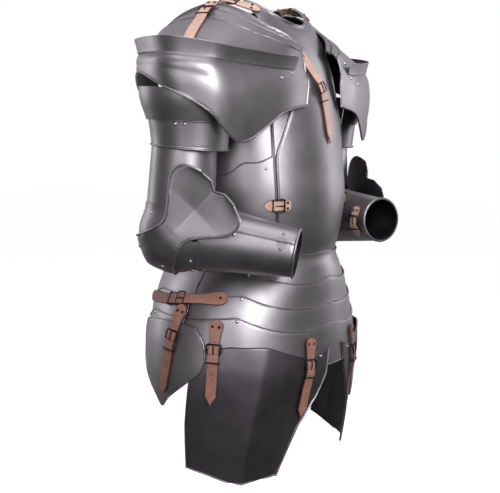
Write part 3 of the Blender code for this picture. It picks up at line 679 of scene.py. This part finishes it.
def build_skirt():
    """Front and rear lames, their scalloped edges and sliding rivets."""
    half = 90.0 - SIDE_GAP / 4.0
    for index, row in enumerate(LAMES):
        for name, middle in (("fauld_lame", 0.0), ("culet_lame", 180.0)):
            def top(angle, middle=middle, row=row):
                return lame_top(row, angle - middle)

            def bottom(angle, middle=middle, row=row):
                return row[3] + (row[4] - row[3]) * (abs(angle - middle) / 90.0) ** 2

            grid = trunk_patch(middle - half, middle + half, top, bottom, np.linspace(0.0, 1.0, 109),
                               spaced(12, 0.035, 0.035))
            lift = (2 + index) * LAYER
            plate(f"{name}_{index + 1}", grid, BRIGHT, (0, 0, -0.50), lift=lift,
                  rolls={"top": 0.0011, "bottom": 0.0008})
            for turn in (-RIVET_ANGLE, RIVET_ANGLE):
                height = lame_top(row, turn) - 0.0065
                rivet("suit", *trunk_spot(middle + turn, height, lift), 0.0032)
            if name == "culet_lame":
                rivet("suit", *trunk_spot(middle, lame_top(row, 0.0) - 0.0065, lift), 0.0032)


# Straight rims of the front tassets: angle and height along the top and along the bottom
TASSET_RIM = [(6.0, -0.581), (14.0, -0.592), (22.0, -0.592), (44.0, -0.566), (62.0, -0.564), (81.0, -0.570),
              (92.0, -0.575)]
TASSET_FOOT = [(6.0, -0.790), (34.0, -0.793), (56.0, -0.801), (90.0, -0.774), (92.0, -0.774)]
# Share of the curve's full depth by which the facets are pressed flat
FACET_SHARE = 0.75


def flattening(angle, inner, ridge, outer, places):
    """Depth to press a tasset in between its edge and its ridge, so that it falls in two flat facets."""
    if angle < ridge:
        low, high, first, last = inner, ridge, places[0], places[1]
    else:
        low, high, first, last = ridge, outer, places[1], places[2]
    share = (angle - low) / (high - low)
    chord = np.linalg.norm(last[:2] - first[:2])
    sag = chord ** 2 / (8.0 * np.linalg.norm(first[:2]))
    return FACET_SHARE * sag * 4.0 * share * (1.0 - share)


def build_tassets():
    """The ridged front pair and the leaf-shaped side pair."""
    for name, (sign, _, _) in ARMS.items():
        parts = spaced(34, 0.016, 0.016)
        shares = spaced(44, 0.025, 0.025)
        grid = np.zeros((len(parts), len(shares), 3))
        lift = np.zeros(grid.shape[:2])
        for row, part in enumerate(parts):
            inner, ridge, outer = [float(np.interp(part, [e[0] for e in TASSET_EDGES],
                                                   [e[k] for e in TASSET_EDGES])) for k in (1, 2, 3)]
            edge_places = [trunk_point(turn, trunk_stage(turn, TASSET_RIM[0][1] - 0.21 * part), sign)
                           for turn in (inner, ridge, outer)]
            for column, angle in enumerate(inner + (outer - inner) * shares):
                top = np.interp(angle, *np.transpose(TASSET_RIM))
                bottom = np.interp(angle, *np.transpose(TASSET_FOOT))
                height = top + (bottom - top) * part
                grid[row, column] = trunk_point(angle, trunk_stage(angle, height), sign)
                grid[row, column, 2] = height
                near = abs(angle - ridge) / RIDGE_REACH
                crest = max(0.0, 1.0 - math.sqrt(near ** 2 + 0.0008) + 0.02)
                lift[row, column] = 6 * LAYER + TASSET_RIDGE * crest
                pressed = min(max((part - 0.16) / 0.5, 0.0), 1.0)
                lift[row, column] -= flattening(angle, inner, ridge, outer, edge_places) * pressed
        # The front tassets are drawn in the darker steel, a painted shade.
        plate(name + "_front_tasset", grid, SHADED_STEEL, (0, 0, -0.66), lift=lift,
              rolls={"left": 0.0014, "right": 0.0012, "bottom": 0.0012, "top": 0.0010})

        heights = np.array([row[0] for row in SIDE_TASSET])
        spreads = np.array([row[1] for row in SIDE_TASSET])
        places = spaced(30, 0.03)
        shares = spaced(22, 0.03, 0.03) * 2.0 - 1.0
        grid = np.zeros((len(places), len(shares), 3))
        for row, place in enumerate(places):
            height = heights[0] + (heights[-1] - heights[0]) * place
            spread = float(smooth(-heights, spreads, -height))
            for column, share in enumerate(shares):
                bow = 0.006 * (1.0 - share ** 2) * max(0.0, 1.0 - place / 0.15)
                angle = SIDE_TASSET_ANGLE + spread * share
                grid[row, column] = trunk_point(angle, trunk_stage(angle, height + bow), sign)
        plate(name + "_side_tasset", grid, BRIGHT, (0, 0, -0.60), lift=7.3 * LAYER,
              rolls={"left": 0.0010, "right": 0.0010, "top": 0.0008})
        for angle, height in ((81.0, -0.5995), (12.5, -0.5945)):
            rivet("suit", *trunk_spot(angle, height, 6 * LAYER, sign), 0.0026)


# Pauldrons

def pauldron_patch(down, across, sign):
    """Grid on a pauldron, rows by down and columns by across."""
    return np.array([pauldron_point(across, stage, sign) for stage in down])


# Lames over the upper arm: height and radius
UPPER_BAND = [(-0.142, 0.0815), (-0.155, 0.0812), (-0.168, 0.0785), (-0.181, 0.0742), (-0.194, 0.0698)]
# Where the band around the arm starts, how far it runs and where its rivets sit
BAND_START = -28.0
BAND_SPAN = 236.0
BAND_RIVET_RADIUS = 0.0668
BAND_RIVET_HEIGHT = -0.199
LOWER_BAND = [(-0.182, 0.0690), (-0.205, 0.0655), (-0.223, 0.0632), (-0.237, 0.0620)]


def arm_band(profile, sign, shares, parts, tilt):
    """Open band around the upper arm, its gap towards the armpit; profile gives (height, radius)."""
    turn = np.radians(BAND_START + BAND_SPAN * shares)[None, :]
    stages = np.arange(len(profile), dtype=float)
    height, size = smooth(stages, np.array(profile), stages[-1] * parts).T[:, :, None]
    height = height - tilt * np.cos(turn)
    return placed(BAND_OUT + size * np.sin(turn), BAND_AHEAD + size * np.cos(turn), height, sign)


def build_pauldrons():
    """Neck lames, main plate, standing flange, the lames over the upper arm and their rivets."""
    for name, (sign, _, _) in ARMS.items():
        centre = (sign * 0.18, 0.0, -0.16)
        across = PAULDRON_END * spaced(88, 0.008, 0.008)
        grid = pauldron_patch(0.62 * spaced(12, 0.22), across, sign)
        plate(name + "_neck_lame", grid, BRIGHT, centre, rolls={"top": 0.0026})
        grid = pauldron_patch(0.46 + 0.66 * spaced(12, 0.05), across, sign)
        plate(name + "_shoulder_lame", grid, BRIGHT, centre, lift=LAYER, rolls={"top": 0.0008})
        grid = pauldron_patch(1.0 + 3.0 * spaced(54, 0.010, 0.018), across, sign)
        plate(name + "_pauldron", grid, BRIGHT, centre, lift=2 * LAYER,
              rolls={"top": 0.0008, "bottom": 0.0017, "left": 0.0012, "right": 0.0012})
        build_flange(name, sign, centre)
        parts = spaced(16, 0.03, 0.03)
        shares = spaced(60, 0.012, 0.012)
        grid = arm_band(UPPER_BAND, sign, shares, parts, 0.004)
        plate(name + "_arm_lame_upper", grid, BRIGHT, (sign * BAND_OUT, 0.0, -0.17), rolls={"bottom": 0.0007})
        parts = spaced(16, 0.03, 0.075)
        grid = arm_band(LOWER_BAND, sign, shares, parts, 0.006)
        plate(name + "_arm_lame_lower", grid, BRIGHT, (sign * BAND_OUT, 0.0, -0.21), rolls={"bottom": 0.0020})
        for across_at, down_at in ((0.55, 1.50), (0.62, 2.35), (1.05, 2.60), (6.45, 1.55), (6.5, 2.6)):
            rivet("suit", *pauldron_spot(across_at, down_at, 2 * LAYER, sign), 0.0030)
        for share in (0.373, 0.429):
            turn = math.radians(BAND_START + BAND_SPAN * share)
            normal = placed(math.sin(turn), math.cos(turn), 0.12, sign)
            out = BAND_OUT + BAND_RIVET_RADIUS * math.sin(turn)
            ahead = BAND_AHEAD + BAND_RIVET_RADIUS * math.cos(turn)
            rivet("suit", placed(out, ahead, BAND_RIVET_HEIGHT, sign), normal, 0.0028)


def build_flange(name, sign, centre):
    """Standing flange across the pauldron, leaning outward, with a rounded top edge."""
    across = 0.45 + 5.75 * np.linspace(0.0, 1.0, 90)
    near = pauldron_patch(np.array([1.9, 2.12, 2.3]), across, sign)
    normals = grid_normals(near, False, np.array(centre))[1]
    foot = near[1]
    rows = []
    for part in np.linspace(0.0, 1.0, 12):
        lean = 2 * LAYER + 0.0022 + 0.0063 * part ** 1.4
        row = foot + normals * lean
        row[:, 2] += 0.019 * part
        rows.append(row)
    plate(name + "_flange", np.array(rows[::-1]), BRIGHT, centre, rolls={"top": 0.0006})


# Arms

def elbow_frame(side):
    """Elbow centre and the directions ahead, up, out of the bend and along the forearm."""
    sign, turn, slope = ARMS[side]
    turn = math.radians(turn)
    slope = math.radians(slope)
    pivot = placed(ARM_OUT, ARM_AHEAD, ELBOW_HEIGHT, sign)
    ahead = placed(-math.sin(turn), math.cos(turn), 0.0, sign)
    up = np.array([0.0, 0.0, 1.0])
    aside = placed(math.cos(turn), math.sin(turn), 0.0, sign)
    fore = ahead * math.cos(slope) - up * math.sin(slope)
    top = up * math.cos(slope) + ahead * math.sin(slope)
    return pivot, ahead, up, aside, fore, top


def elbow_lame_profile(tube_radius):
    """Flared lame: a close sleeve on the tube, then a zone of the sphere inside the couter."""
    sleeve = [(along, tube_radius(along) + PLATE + 1.3 * SEAM) for along in (0.046, 0.034)]
    zone = [(along, math.sqrt(INNER_CUP_RADIUS ** 2 - along ** 2)) for along in (0.018, 0.006, -0.008)]
    return sleeve + zone


def couter_points(side, stages, parts):
    """Cup behind the elbow that runs on into the heart-shaped wing at the outer side."""
    pivot, ahead, up, aside, _, _ = elbow_frame(side)
    back = -(ahead + up) / math.sqrt(2.0)
    raised = (up - ahead) / math.sqrt(2.0)
    grid = np.zeros((len(parts), len(stages), 3))
    for column, stage in enumerate(stages):
        width = float(table_curve(COUTER_WIDTHS, stage))
        rise = width * parts
        flat = float(np.clip((stage - 3.2) / 1.6, 0.0, 1.0))
        round_off = np.sqrt(np.clip(1.0 - (rise / CUP_RADIUS) ** 2, 0.0, None))
        shrink = (1.0 - flat) * round_off + flat
        if stage <= 4.0:
            turn = math.radians(float(table_curve(CUP_STAGES, stage)))
            path = (CUP_RADIUS * math.cos(turn), CUP_RADIUS * math.sin(turn))
        else:
            path = (-float(table_curve(WING_PATH, stage)), float(table_curve(WING_PATH, stage, 2)))
        sunk = float(np.clip((stage - 5.0) / 1.5, 0.0, 1.0))
        notch = WING_NOTCH * np.clip(1.0 - np.abs(parts) / 0.4, 0.0, None)
        notch = notch * float(np.clip((stage - 6.5) / 2.5, 0.0, 1.0))
        fold = (1.0 - np.abs(parts)) * (0.0012 * flat + 1.4 * WING_FOLD * sunk)
        keel = 0.0050 * np.clip(1.0 - np.abs(parts) / 0.5, 0.0, None) * (1.0 - flat)
        along_back = path[0] * shrink + notch + keel * math.cos(math.radians(40.0))
        grid[:, column] = (pivot + back * along_back[:, None] + aside * (path[1] * shrink - fold)[:, None]
                           + raised * rise[:, None])
    return grid


def round_shell(origin, axis, first, second, profile, turns, cut=None, taper=0.0, ring=False):
    """Grid of rings about an axis; profile gives (along, radius), cut moves the first ring by angle."""
    turns = np.radians(turns[:-1] if ring else turns)
    along = np.array([row[0] for row in profile])
    radius = np.array([row[1] for row in profile])
    grid = np.zeros((len(profile), len(turns), 3))
    for column, turn in enumerate(turns):
        direction = first * math.cos(turn) + second * math.sin(turn)
        place = along
        if cut is not None:
            place = cut(turn) + (along[-1] - cut(turn)) * (along - along[0]) / (along[-1] - along[0])
        size = radius - taper * (place - along)
        grid[:, column] = origin + np.outer(place, axis) + np.outer(size, direction)
    return grid


def fine_profile(profile, count):
    """Profile read at more places along a smooth curve through it."""
    stages = np.arange(len(profile), dtype=float)
    at = np.linspace(0.0, len(profile) - 1.0, count)
    along = smooth(stages, [row[0] for row in profile], at)
    radius = smooth(stages, [row[1] for row in profile], at)
    return list(zip(along, radius))


def build_arm(side):
    """Upper cannon, couter with its two lames, and the two halves of the vambrace."""
    pivot, ahead, _, aside, fore, top = elbow_frame(side)
    sign = ARMS[side][0]
    reach = placed(*ARM_TOP, sign) - pivot
    length = float(np.linalg.norm(reach))
    up = reach / length
    ahead = np.cross(aside, up) * np.sign(np.dot(np.cross(aside, up), ahead))
    ahead /= np.linalg.norm(ahead)
    aside = np.cross(ahead, up) * np.sign(np.dot(np.cross(ahead, up), aside))
    widen = CANNON_LOW_RADIUS - CANNON_TOP_RADIUS

    def cannon_radius(along):
        return CANNON_LOW_RADIUS - widen * along / length

    def cannon_cut(turn):
        return 0.010 + 0.060 * ((1.0 + math.cos(turn)) / 2.0) ** 2

    places = 0.010 + (length - 0.010) * spaced(26, 0.02, 0.02)
    profile = [(place, cannon_radius(place)) for place in places]
    turns = np.linspace(0.0, 360.0, 97)
    grid = round_shell(pivot, up, ahead, aside, profile, turns, cannon_cut, widen / length, True)
    plate(side + "_upper_cannon", grid, BRIGHT, pivot + up * 0.1, ring=True,
          rolls={"top": 0.0008, "bottom": 0.0010})

    turns = np.linspace(-86.0, 86.0, 58)
    profile = fine_profile(elbow_lame_profile(cannon_radius), 26)
    grid = round_shell(pivot, up, -ahead, aside, profile, turns)
    plate(side + "_elbow_lame_upper", grid, BRIGHT, pivot, rolls={"top": 0.0008})

    stages = 9.0 * spaced(90, 0.010, 0.010)
    parts = 1.0 - 2.0 * spaced(48, 0.022, 0.022)
    plate(side + "_couter", couter_points(side, stages, parts), BRIGHT, pivot,
          rolls={"top": 0.0019, "bottom": 0.0019, "right": 0.0019, "left": 0.0012})

    def forearm_radius(along):
        return FOREARM_RADIUS - FOREARM_TAPER * along

    aside = elbow_frame(side)[3]
    profile = fine_profile(elbow_lame_profile(forearm_radius), 26)
    grid = round_shell(pivot, fore, -top, aside, profile, turns)
    plate(side + "_elbow_lame_lower", grid, BRIGHT, pivot, rolls={"top": 0.0008})

    def forearm_cut(turn):
        return 0.022 + 0.055 * ((1.0 + math.cos(turn)) / 2.0) ** 1.5

    places = 0.022 + (FOREARM_LENGTH - 0.022) * spaced(30, 0.010, 0.026)
    profile = [(place, forearm_radius(place)) for place in places]
    parting = 0.06
    for half, start in (("upper", VAMBRACE_SEAM - 180.0 + parting), ("lower", VAMBRACE_SEAM + parting)):
        turns = start + (180.0 - 2 * parting) * spaced(46, 0.012, 0.012)
        grid = round_shell(pivot, fore, top, aside, profile, turns, forearm_cut, FOREARM_TAPER)
        plate(f"{side}_vambrace_{half}", grid, BRIGHT, pivot + fore * 0.11,
              rolls={"bottom": 0.0021, "left": 0.0007, "right": 0.0007, "top": 0.0007})
    build_arm_rivets(side, pivot, up)


def build_arm_rivets(side, pivot, up):
    """Rivets of the elbow lames, the couter and the vambrace's upper half."""
    _, ahead, _, aside, fore, top = elbow_frame(side)
    for axis, rear, body in ((up, -ahead, "suit"), (fore, -top, side + "_forearm")):
        for angle in (12.0, 50.0):
            direction = rear * math.cos(math.radians(angle)) + aside * math.sin(math.radians(angle))
            point = pivot + axis * 0.034 + direction * (CANNON_LOW_RADIUS + 0.0012)
            rivet(body, point, direction, 0.0030)
    for stage, part in ((2.9, 0.62), (3.3, -0.55)):
        steps = np.array([-0.05, 0.0, 0.05])
        near = couter_points(side, stage + steps, part - steps)
        normal = grid_normals(near, False, pivot)[1, 1]
        rivet(body_of(side + "_couter"), near[1, 1], normal, 0.0032)
    for turn, along in ((70.0, 0.087), (69.0, 0.096)):
        spin = math.radians(turn)
        radial = top * math.cos(spin) + aside * math.sin(spin)
        radius = FOREARM_RADIUS - FOREARM_TAPER * along
        rivet(side + "_forearm", pivot + fore * along + radial * radius, radial, 0.0028)


# Straps, buckles and hinges

STRAP_WIDTH = 0.019
# Long strap: riveted chape, buckle, keeper and pointed tail
LONG_STRAP = [
    # part, width, lift
    (0.0, 0.50, 0.0), (0.012, 0.86, 0.0), (0.035, 1.16, 0.0), (0.08, 1.26, 0.0), (0.15, 1.08, 0.0),
    (0.22, 0.92, 0.0), (0.30, 0.90, 0.0010), (0.335, 0.92, 0.0032), (0.37, 0.98, 0.0030), (0.43, 1.0, 0.0036),
    (0.49, 0.98, 0.0028), (0.54, 0.97, 0.0012), (0.60, 1.0, 0.0005), (0.90, 0.98, 0.0007),
    (1.0, 0.06, 0.0007),
]
SHORT_STRAP = [
    # part, width, lift
    (0.0, 0.62, 0.0), (0.03, 0.94, 0.0), (0.10, 1.10, 0.0), (0.30, 0.96, 0.0), (0.42, 0.94, 0.0024),
    (0.55, 1.0, 0.0036), (0.70, 1.0, 0.0020), (0.80, 1.0, 0.0004), (0.88, 0.95, 0.0), (1.0, 0.30, 0.0),
]
# Each form of strap: its table, and where its fittings sit as parts of its length; rivets also have a side
LONG = (LONG_STRAP, {"buckle": 0.335, "keeper": 0.49, "rivets": ((0.075, -0.3), (0.075, 0.3)),
                     "holes": (0.24, 0.63, 0.70)})
SHORT = (SHORT_STRAP, {"buckle": 0.42, "keeper": 0.70, "rivets": ((0.12, -0.28), (0.12, 0.28)),
                       "holes": (0.84,)})
SINGLE = (LONG_STRAP, {"buckle": 0.42, "keeper": 0.56, "rivets": ((0.055, 0.0),),
                       "holes": (0.30, 0.66, 0.74, 0.80)})
# Finish of the leather, finish of its edges, and the material slot
PALE = (PALE_LEATHER, PALE_EDGE, "pale_leather")
BROWN = (BROWN_LEATHER, BROWN_EDGE, "brown_leather")


def strap(node, place, looks, form, width=STRAP_WIDTH, stations=70):
    """Leather strap with rounded edges, holes, buckle, keeper and rivets; place gives point and normal."""
    finish, edge_finish, slot = looks
    table, fittings = form
    sections = []
    spots = []
    wrap = 0.0007
    for part in np.linspace(0.0, 1.0, stations):
        wide = float(np.interp(part, [row[0] for row in table], [row[1] for row in table])) * width / 2
        rise = float(smooth([row[0] for row in table], [row[2] for row in table], part))
        point, normal = place(part)
        before, _ = place(max(part - 0.01, 0.0))
        after, _ = place(min(part + 0.01, 1.0))
        normal, along, across = frame_along(normal, after - before)
        point = point + normal * max(rise, 0.0)
        spots.append((point, normal, along, across))
        wide = max(wide, 2.2 * wrap)
        outline = ((-wide + wrap, 0.0), (-wide, wrap), (-wide, LEATHER - wrap), (-wide + wrap, LEATHER),
                   (-wide * 0.45, LEATHER + 0.0001), (wide * 0.45, LEATHER + 0.0001),
                   (wide - wrap, LEATHER), (wide, LEATHER - wrap), (wide, wrap), (wide - wrap, 0.0))
        sections.append([point + across * x + normal * z for x, z in outline])
    count = len(sections[0])
    vertices = [vertex for section in sections for vertex in section]
    faces = []
    slots = []
    for index in range(stations - 1):
        for corner in range(count):
            beside = (corner + 1) % count
            start = index * count
            faces.append([start + corner, start + beside, start + count + beside, start + count + corner])
            slots.append(1 if corner in (0, 1, 2, 6, 7, 8) else 0)
    faces.append(list(range(count)))
    faces.append([(stations - 1) * count + corner for corner in reversed(range(count))])
    slots += [1, 1]
    body = body_of(node)
    made = make_object(node + "_leather", vertices, faces, (finish, edge_finish), slots, body)
    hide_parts(node)

    def spot(part):
        return spots[int(round(part * (stations - 1)))]
    build_fittings(node, spot, width, fittings, body)


def build_fittings(node, spot, width, fittings, body):
    """Buckle frame with its prong, keeper and rivets of one strap in dark iron, and a thin dark disc as
    painted shade at each punched hole.
    """
    parts = Parts()
    point, normal, along, across = spot(fittings["buckle"])
    centre = point + normal * (LEATHER * 0.55)
    loop = rounded_loop(centre, across, along, width * 0.64, 0.0082, 0.0035)
    add_tube(parts, loop, 0.00135, True, up=normal)
    high = normal * (LEATHER * 0.75)
    prong = [centre - along * 0.0080 + high * 0.3, centre - along * 0.0045 + high, centre + high * 1.15,
             centre + along * 0.0050 + high, centre + along * 0.0088 + high * 0.4]
    add_tube(parts, prong, 0.0011, up=normal)
    point, normal, along, across = spot(fittings["keeper"])
    centre = point + normal * (LEATHER * 0.5 - 0.0004)
    loop = rounded_loop(centre, across, normal, width * 0.50 + 0.0012, LEATHER * 0.5 + 0.0014, 0.0012)
    add_tube(parts, loop, 0.0011, True, up=along)
    for part, side in fittings["rivets"]:
        point, normal, along, across = spot(part)
        add_dome(parts, point + normal * LEATHER + across * side * width, normal, 0.0024, 0.0016)
    # Each punched hole is a thin black disc on the leather: painted shade where the hole shows dark.
    for part in fittings["holes"]:
        point, normal, along, across = spot(part)
        add_dome(parts, point + normal * (LEATHER - 0.0002), normal, 0.0011, 0.00008, 1, 10, 2)
    parts.build(node + "_fittings", (IRON_AND_HOLE_SHADE, SHADED_INSIDE), body)


def path_on_trunk(path, lift, sign):
    """Point and normal on the trunk along a path of (part, angle, height)."""
    def place(part):
        return trunk_spot(float(table_curve(path, part, 1)), float(table_curve(path, part, 2)), lift, sign)
    return place


def path_on_pauldron(path, lift, sign):
    """Point and normal on a pauldron along a path of (part, across, down)."""
    def place(part):
        return pauldron_spot(float(table_curve(path, part, 1)), float(table_curve(path, part, 2)), lift, sign)
    return place


def path_on_forearm(side, along, start, end, lift):
    """Point and normal around the forearm at a distance along it, between two angles from its top."""
    pivot, _, _, aside, fore, top = elbow_frame(side)
    radius = FOREARM_RADIUS - FOREARM_TAPER * along + lift

    def place(part):
        turn = math.radians(start + (end - start) * part)
        radial = top * math.cos(turn) + aside * math.sin(turn)
        normal = radial + fore * FOREARM_TAPER
        return pivot + fore * along + radial * radius, normal / np.linalg.norm(normal)
    return place


HANGING_STRAPS = [
    # name, layers below it, path of (part, angle, height)
    ("outer_tasset_strap", 6, [(0.0, 70.5, -0.524), (0.5, 70.8, -0.590), (1.0, 72.0, -0.657)]),
    ("inner_tasset_strap", 6, [(0.0, 19.5, -0.560), (0.5, 21.0, -0.625), (1.0, 24.0, -0.692)]),
    ("side_tasset_strap", 7.3, [(0.0, 92.0, -0.506), (0.5, 96.5, -0.575), (1.0, 101.5, -0.648)]),
]


def build_straps():
    """All the straps that show and the hinges of the vambraces."""
    clear = STRAP_CLEARANCE
    for name, (sign, _, _) in ARMS.items():
        for label, layers, path in HANGING_STRAPS:
            strap(f"{name}_{label}", path_on_trunk(path, layers * LAYER + clear, sign), BROWN, LONG)
        path = [(0.0, 68.0, -0.490), (0.25, 85.0, -0.494), (0.5, 102.0, -0.498), (1.0, 138.0, -0.503)]
        place = path_on_trunk(path, 4 * LAYER + clear, sign)
        strap(name + "_skirt_strap", place, BROWN, SINGLE, stations=110)
        path = [(0.0, 37.0, -0.333), (0.5, 45.5, -0.333), (1.0, 54.0, -0.333)]
        strap(name + "_waist_strap", path_on_trunk(path, LAYER + clear, sign), PALE, SHORT, 0.017, 50)
        path = [(0.0, 56.0, -0.010), (0.5, 90.0, 0.003), (1.0, 124.0, -0.001)]
        strap(name + "_shoulder_strap", path_on_trunk(path, LAYER + clear, sign), PALE, SHORT, 0.016, 60)
        path = [(0.0, 4.05, 0.12), (0.5, 3.95, 1.0), (1.0, 3.6, 1.85)]
        strap(name + "_pauldron_strap", path_on_pauldron(path, 2 * LAYER + clear, sign), PALE, LONG)
        place = path_on_forearm(name, 0.171, -57.0, -135.0, clear)
        strap(name + "_vambrace_strap", place, PALE, SHORT, 0.017, 50)
        build_hinge(name)
    path = [(0.0, 17.0, -0.078), (0.35, 4.0, -0.128), (0.6, 0.0, -0.165), (1.0, -1.0, -0.232)]
    strap("breast_strap", path_on_trunk(path, LAYER + clear, -1), PALE, SINGLE, 0.018)


def build_hinge(side):
    """Butterfly hinge across the seam of the vambrace near the cuff."""
    node = side + "_vambrace_hinge"
    place = path_on_forearm(side, 0.172, VAMBRACE_SEAM - 24.0, VAMBRACE_SEAM + 24.0, 0.0004)
    _, _, _, _, fore, _ = elbow_frame(side)
    parts = Parts()
    for ends, widths in (((0.02, 0.46), (0.0050, 0.0078)), ((0.54, 0.98), (0.0078, 0.0050))):
        vertices = []
        for step in range(7):
            share = step / 6.0
            point, normal = place(ends[0] + (ends[1] - ends[0]) * share)
            half = widths[0] + (widths[1] - widths[0]) * share
            vertices += [point - fore * half, point + fore * half, point + fore * half + normal * 0.0017,
                         point - fore * half + normal * 0.0017]
        faces = []
        for low in range(0, 24, 4):
            for corner in range(4):
                beside = (corner + 1) % 4
                faces.append([low + corner, low + beside, low + 4 + beside, low + 4 + corner])
        faces += [[3, 2, 1, 0], [24, 25, 26, 27]]
        parts.add(vertices, faces)
    point, normal = place(0.5)
    knuckle = point + normal * 0.0016
    add_tube(parts, [knuckle - fore * 0.0086, knuckle + fore * 0.0086], 0.0024, sides=12)
    for part in (0.14, 0.86):
        point, normal = place(part)
        add_dome(parts, point + normal * 0.0016, normal, 0.0028, 0.0018)
    made = parts.build(node + "_leaves", (BRIGHT,), body_of(node))
    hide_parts(node)


def build_rivets():
    """All the rivet heads, one object for each body."""
    for body, heads in RIVETS.items():
        parts = Parts()
        for point, normal, radius in heads:
            add_dome(parts, point, normal, radius, radius * 0.62)
        # Rivet heads take the lighter edge steel, a painted highlight.
        parts.build(body + "_rivets_steel", (EDGE_HIGHLIGHT_STEEL,), body)


# Stage, light and camera

FLOOR_HEIGHT = -1.42
CAMERA_PLACE = (-1.5337, -0.9939, -0.2105)
CAMERA_TURN = math.radians(56.82)
CAMERA_PITCH = math.radians(6.536)
CAMERA_LENS = 72.43


def build_stage():
    """Pale floor, which shows to the camera and stays out of the steel's reflections."""
    size = 14.0
    mesh = bpy.data.meshes.new("floor")
    mesh.from_pydata([(-size, -size, FLOOR_HEIGHT), (size, -size, FLOOR_HEIGHT), (size, size, FLOOR_HEIGHT),
                      (-size, size, FLOOR_HEIGHT)], [], [(0, 1, 2, 3)])
    made = bpy.data.objects.new("floor", mesh)
    bpy.context.scene.collection.objects.link(made)
    finish, _, shader = new_material("pale floor")
    shader.inputs["Base Color"].default_value = (0.86, 0.86, 0.86, 1.0)
    shader.inputs["Roughness"].default_value = 0.9
    shader.inputs["Emission Color"].default_value = (1.0, 1.0, 1.0, 1.0)
    shader.inputs["Emission Strength"].default_value = 0.75
    mesh.materials.append(finish)
    made.visible_glossy = False
    made.visible_diffuse = False


def build_world():
    """White to the camera, and to the steel a studio that is bright behind and dim at the sides."""
    world = bpy.data.worlds.new("studio")
    bpy.context.scene.world = world
    world.use_nodes = True
    tree = world.node_tree
    tree.nodes.clear()
    out = tree.nodes.new("ShaderNodeOutputWorld")
    seen = add_node(tree, "ShaderNodeBackground", Color=(1.0, 1.0, 1.0, 1.0), Strength=1.0)
    lit = tree.nodes.new("ShaderNodeBackground")
    mix = tree.nodes.new("ShaderNodeMixShader")
    path = tree.nodes.new("ShaderNodeLightPath")
    place = tree.nodes.new("ShaderNodeTexCoord")
    behind = tree.nodes.new("ShaderNodeVectorMath")
    behind.operation = "DOT_PRODUCT"
    behind.inputs[1].default_value = (math.sin(CAMERA_TURN), math.cos(CAMERA_TURN), 0.10)
    link(tree, place, "Generated", behind, 0)
    spread = shift(tree, behind.outputs["Value"], 0.0, 1.0, -1.0, 1.0)
    tone = tree.nodes.new("ShaderNodeValToRGB")
    tones = ((0.0, 0.24), (0.22, 0.17), (0.45, 0.15), (0.62, 0.22), (0.80, 0.42), (1.0, 0.62))
    for index, (position, level) in enumerate(tones):
        if index < 2:
            element = tone.color_ramp.elements[index]
            element.position = position
        else:
            element = tone.color_ramp.elements.new(position)
        element.color = (level, level * 0.97, level * 1.01, 1.0)
    link(tree, spread, "Result", tone, "Fac")
    rise = tree.nodes.new("ShaderNodeSeparateXYZ")
    link(tree, place, "Generated", rise, "Vector")
    level = shift(tree, rise.outputs["Z"], 0.42, 1.0, -0.45, 0.05, "SMOOTHSTEP")
    link(tree, level, "Result", lit, "Strength")
    link(tree, tone, "Color", lit, "Color")
    link(tree, path, "Is Camera Ray", mix, "Fac")
    link(tree, lit, "Background", mix, 1)
    link(tree, seen, "Background", mix, 2)
    link(tree, mix, "Shader", out, "Surface")


def area_light(name, place, target, width, height, power):
    """Soft box aimed at a target, unseen by the camera."""
    data = bpy.data.lights.new(name, "AREA")
    data.shape = "RECTANGLE"
    data.size = width
    data.size_y = height
    data.energy = power
    made = bpy.data.objects.new(name, data)
    made.location = place
    made.rotation_euler = (Vector(target) - Vector(place)).to_track_quat("-Z", "Y").to_euler()
    made.visible_camera = False
    bpy.context.scene.collection.objects.link(made)


def from_camera(turn, height, distance):
    """Place round the suit at an angle from the camera's own direction, positive to the camera's right."""
    angle = CAMERA_TURN - math.radians(turn)
    return (-math.sin(angle) * distance, -math.cos(angle) * distance, height)


def build_lights():
    """Tall key beside the camera, weak fill, soft top light and two edge lights."""
    middle = (0.0, 0.0, -0.35)
    for name, place, width, height, power in (
            ("key", from_camera(26.0, 0.55, 2.3), 0.8, 1.5, 44.0),
            ("fill", from_camera(-17.0, 0.15, 2.4), 0.9, 1.3, 9.0),
            ("top", (-0.3, -0.2, 1.9), 1.6, 1.6, 20.0),
            ("left_edge", from_camera(-112.0, 0.2, 2.2), 0.6, 1.8, 9.0),
            ("right_edge", from_camera(118.0, 0.2, 2.2), 0.6, 1.8, 10.0)):
        area_light(name, place, middle, width, height, power)


def build_camera():
    """Camera at the photograph's angle."""
    data = bpy.data.cameras.new("camera")
    data.sensor_width = 36.0
    data.lens = CAMERA_LENS
    made = bpy.data.objects.new("camera", data)
    made.location = CAMERA_PLACE
    level = math.cos(CAMERA_PITCH)
    aim = Vector((math.sin(CAMERA_TURN) * level, math.cos(CAMERA_TURN) * level, -math.sin(CAMERA_PITCH)))
    made.rotation_euler = aim.to_track_quat("-Z", "Y").to_euler()
    bpy.context.scene.collection.objects.link(made)
    bpy.context.scene.camera = made
    bpy.context.scene.view_settings.view_transform = "Standard"


build_cuirass()
build_skirt()
build_tassets()
build_pauldrons()
for side in SIDES:
    build_arm(side)
build_straps()
build_rivets()
build_stage()
build_world()
build_lights()
build_camera()
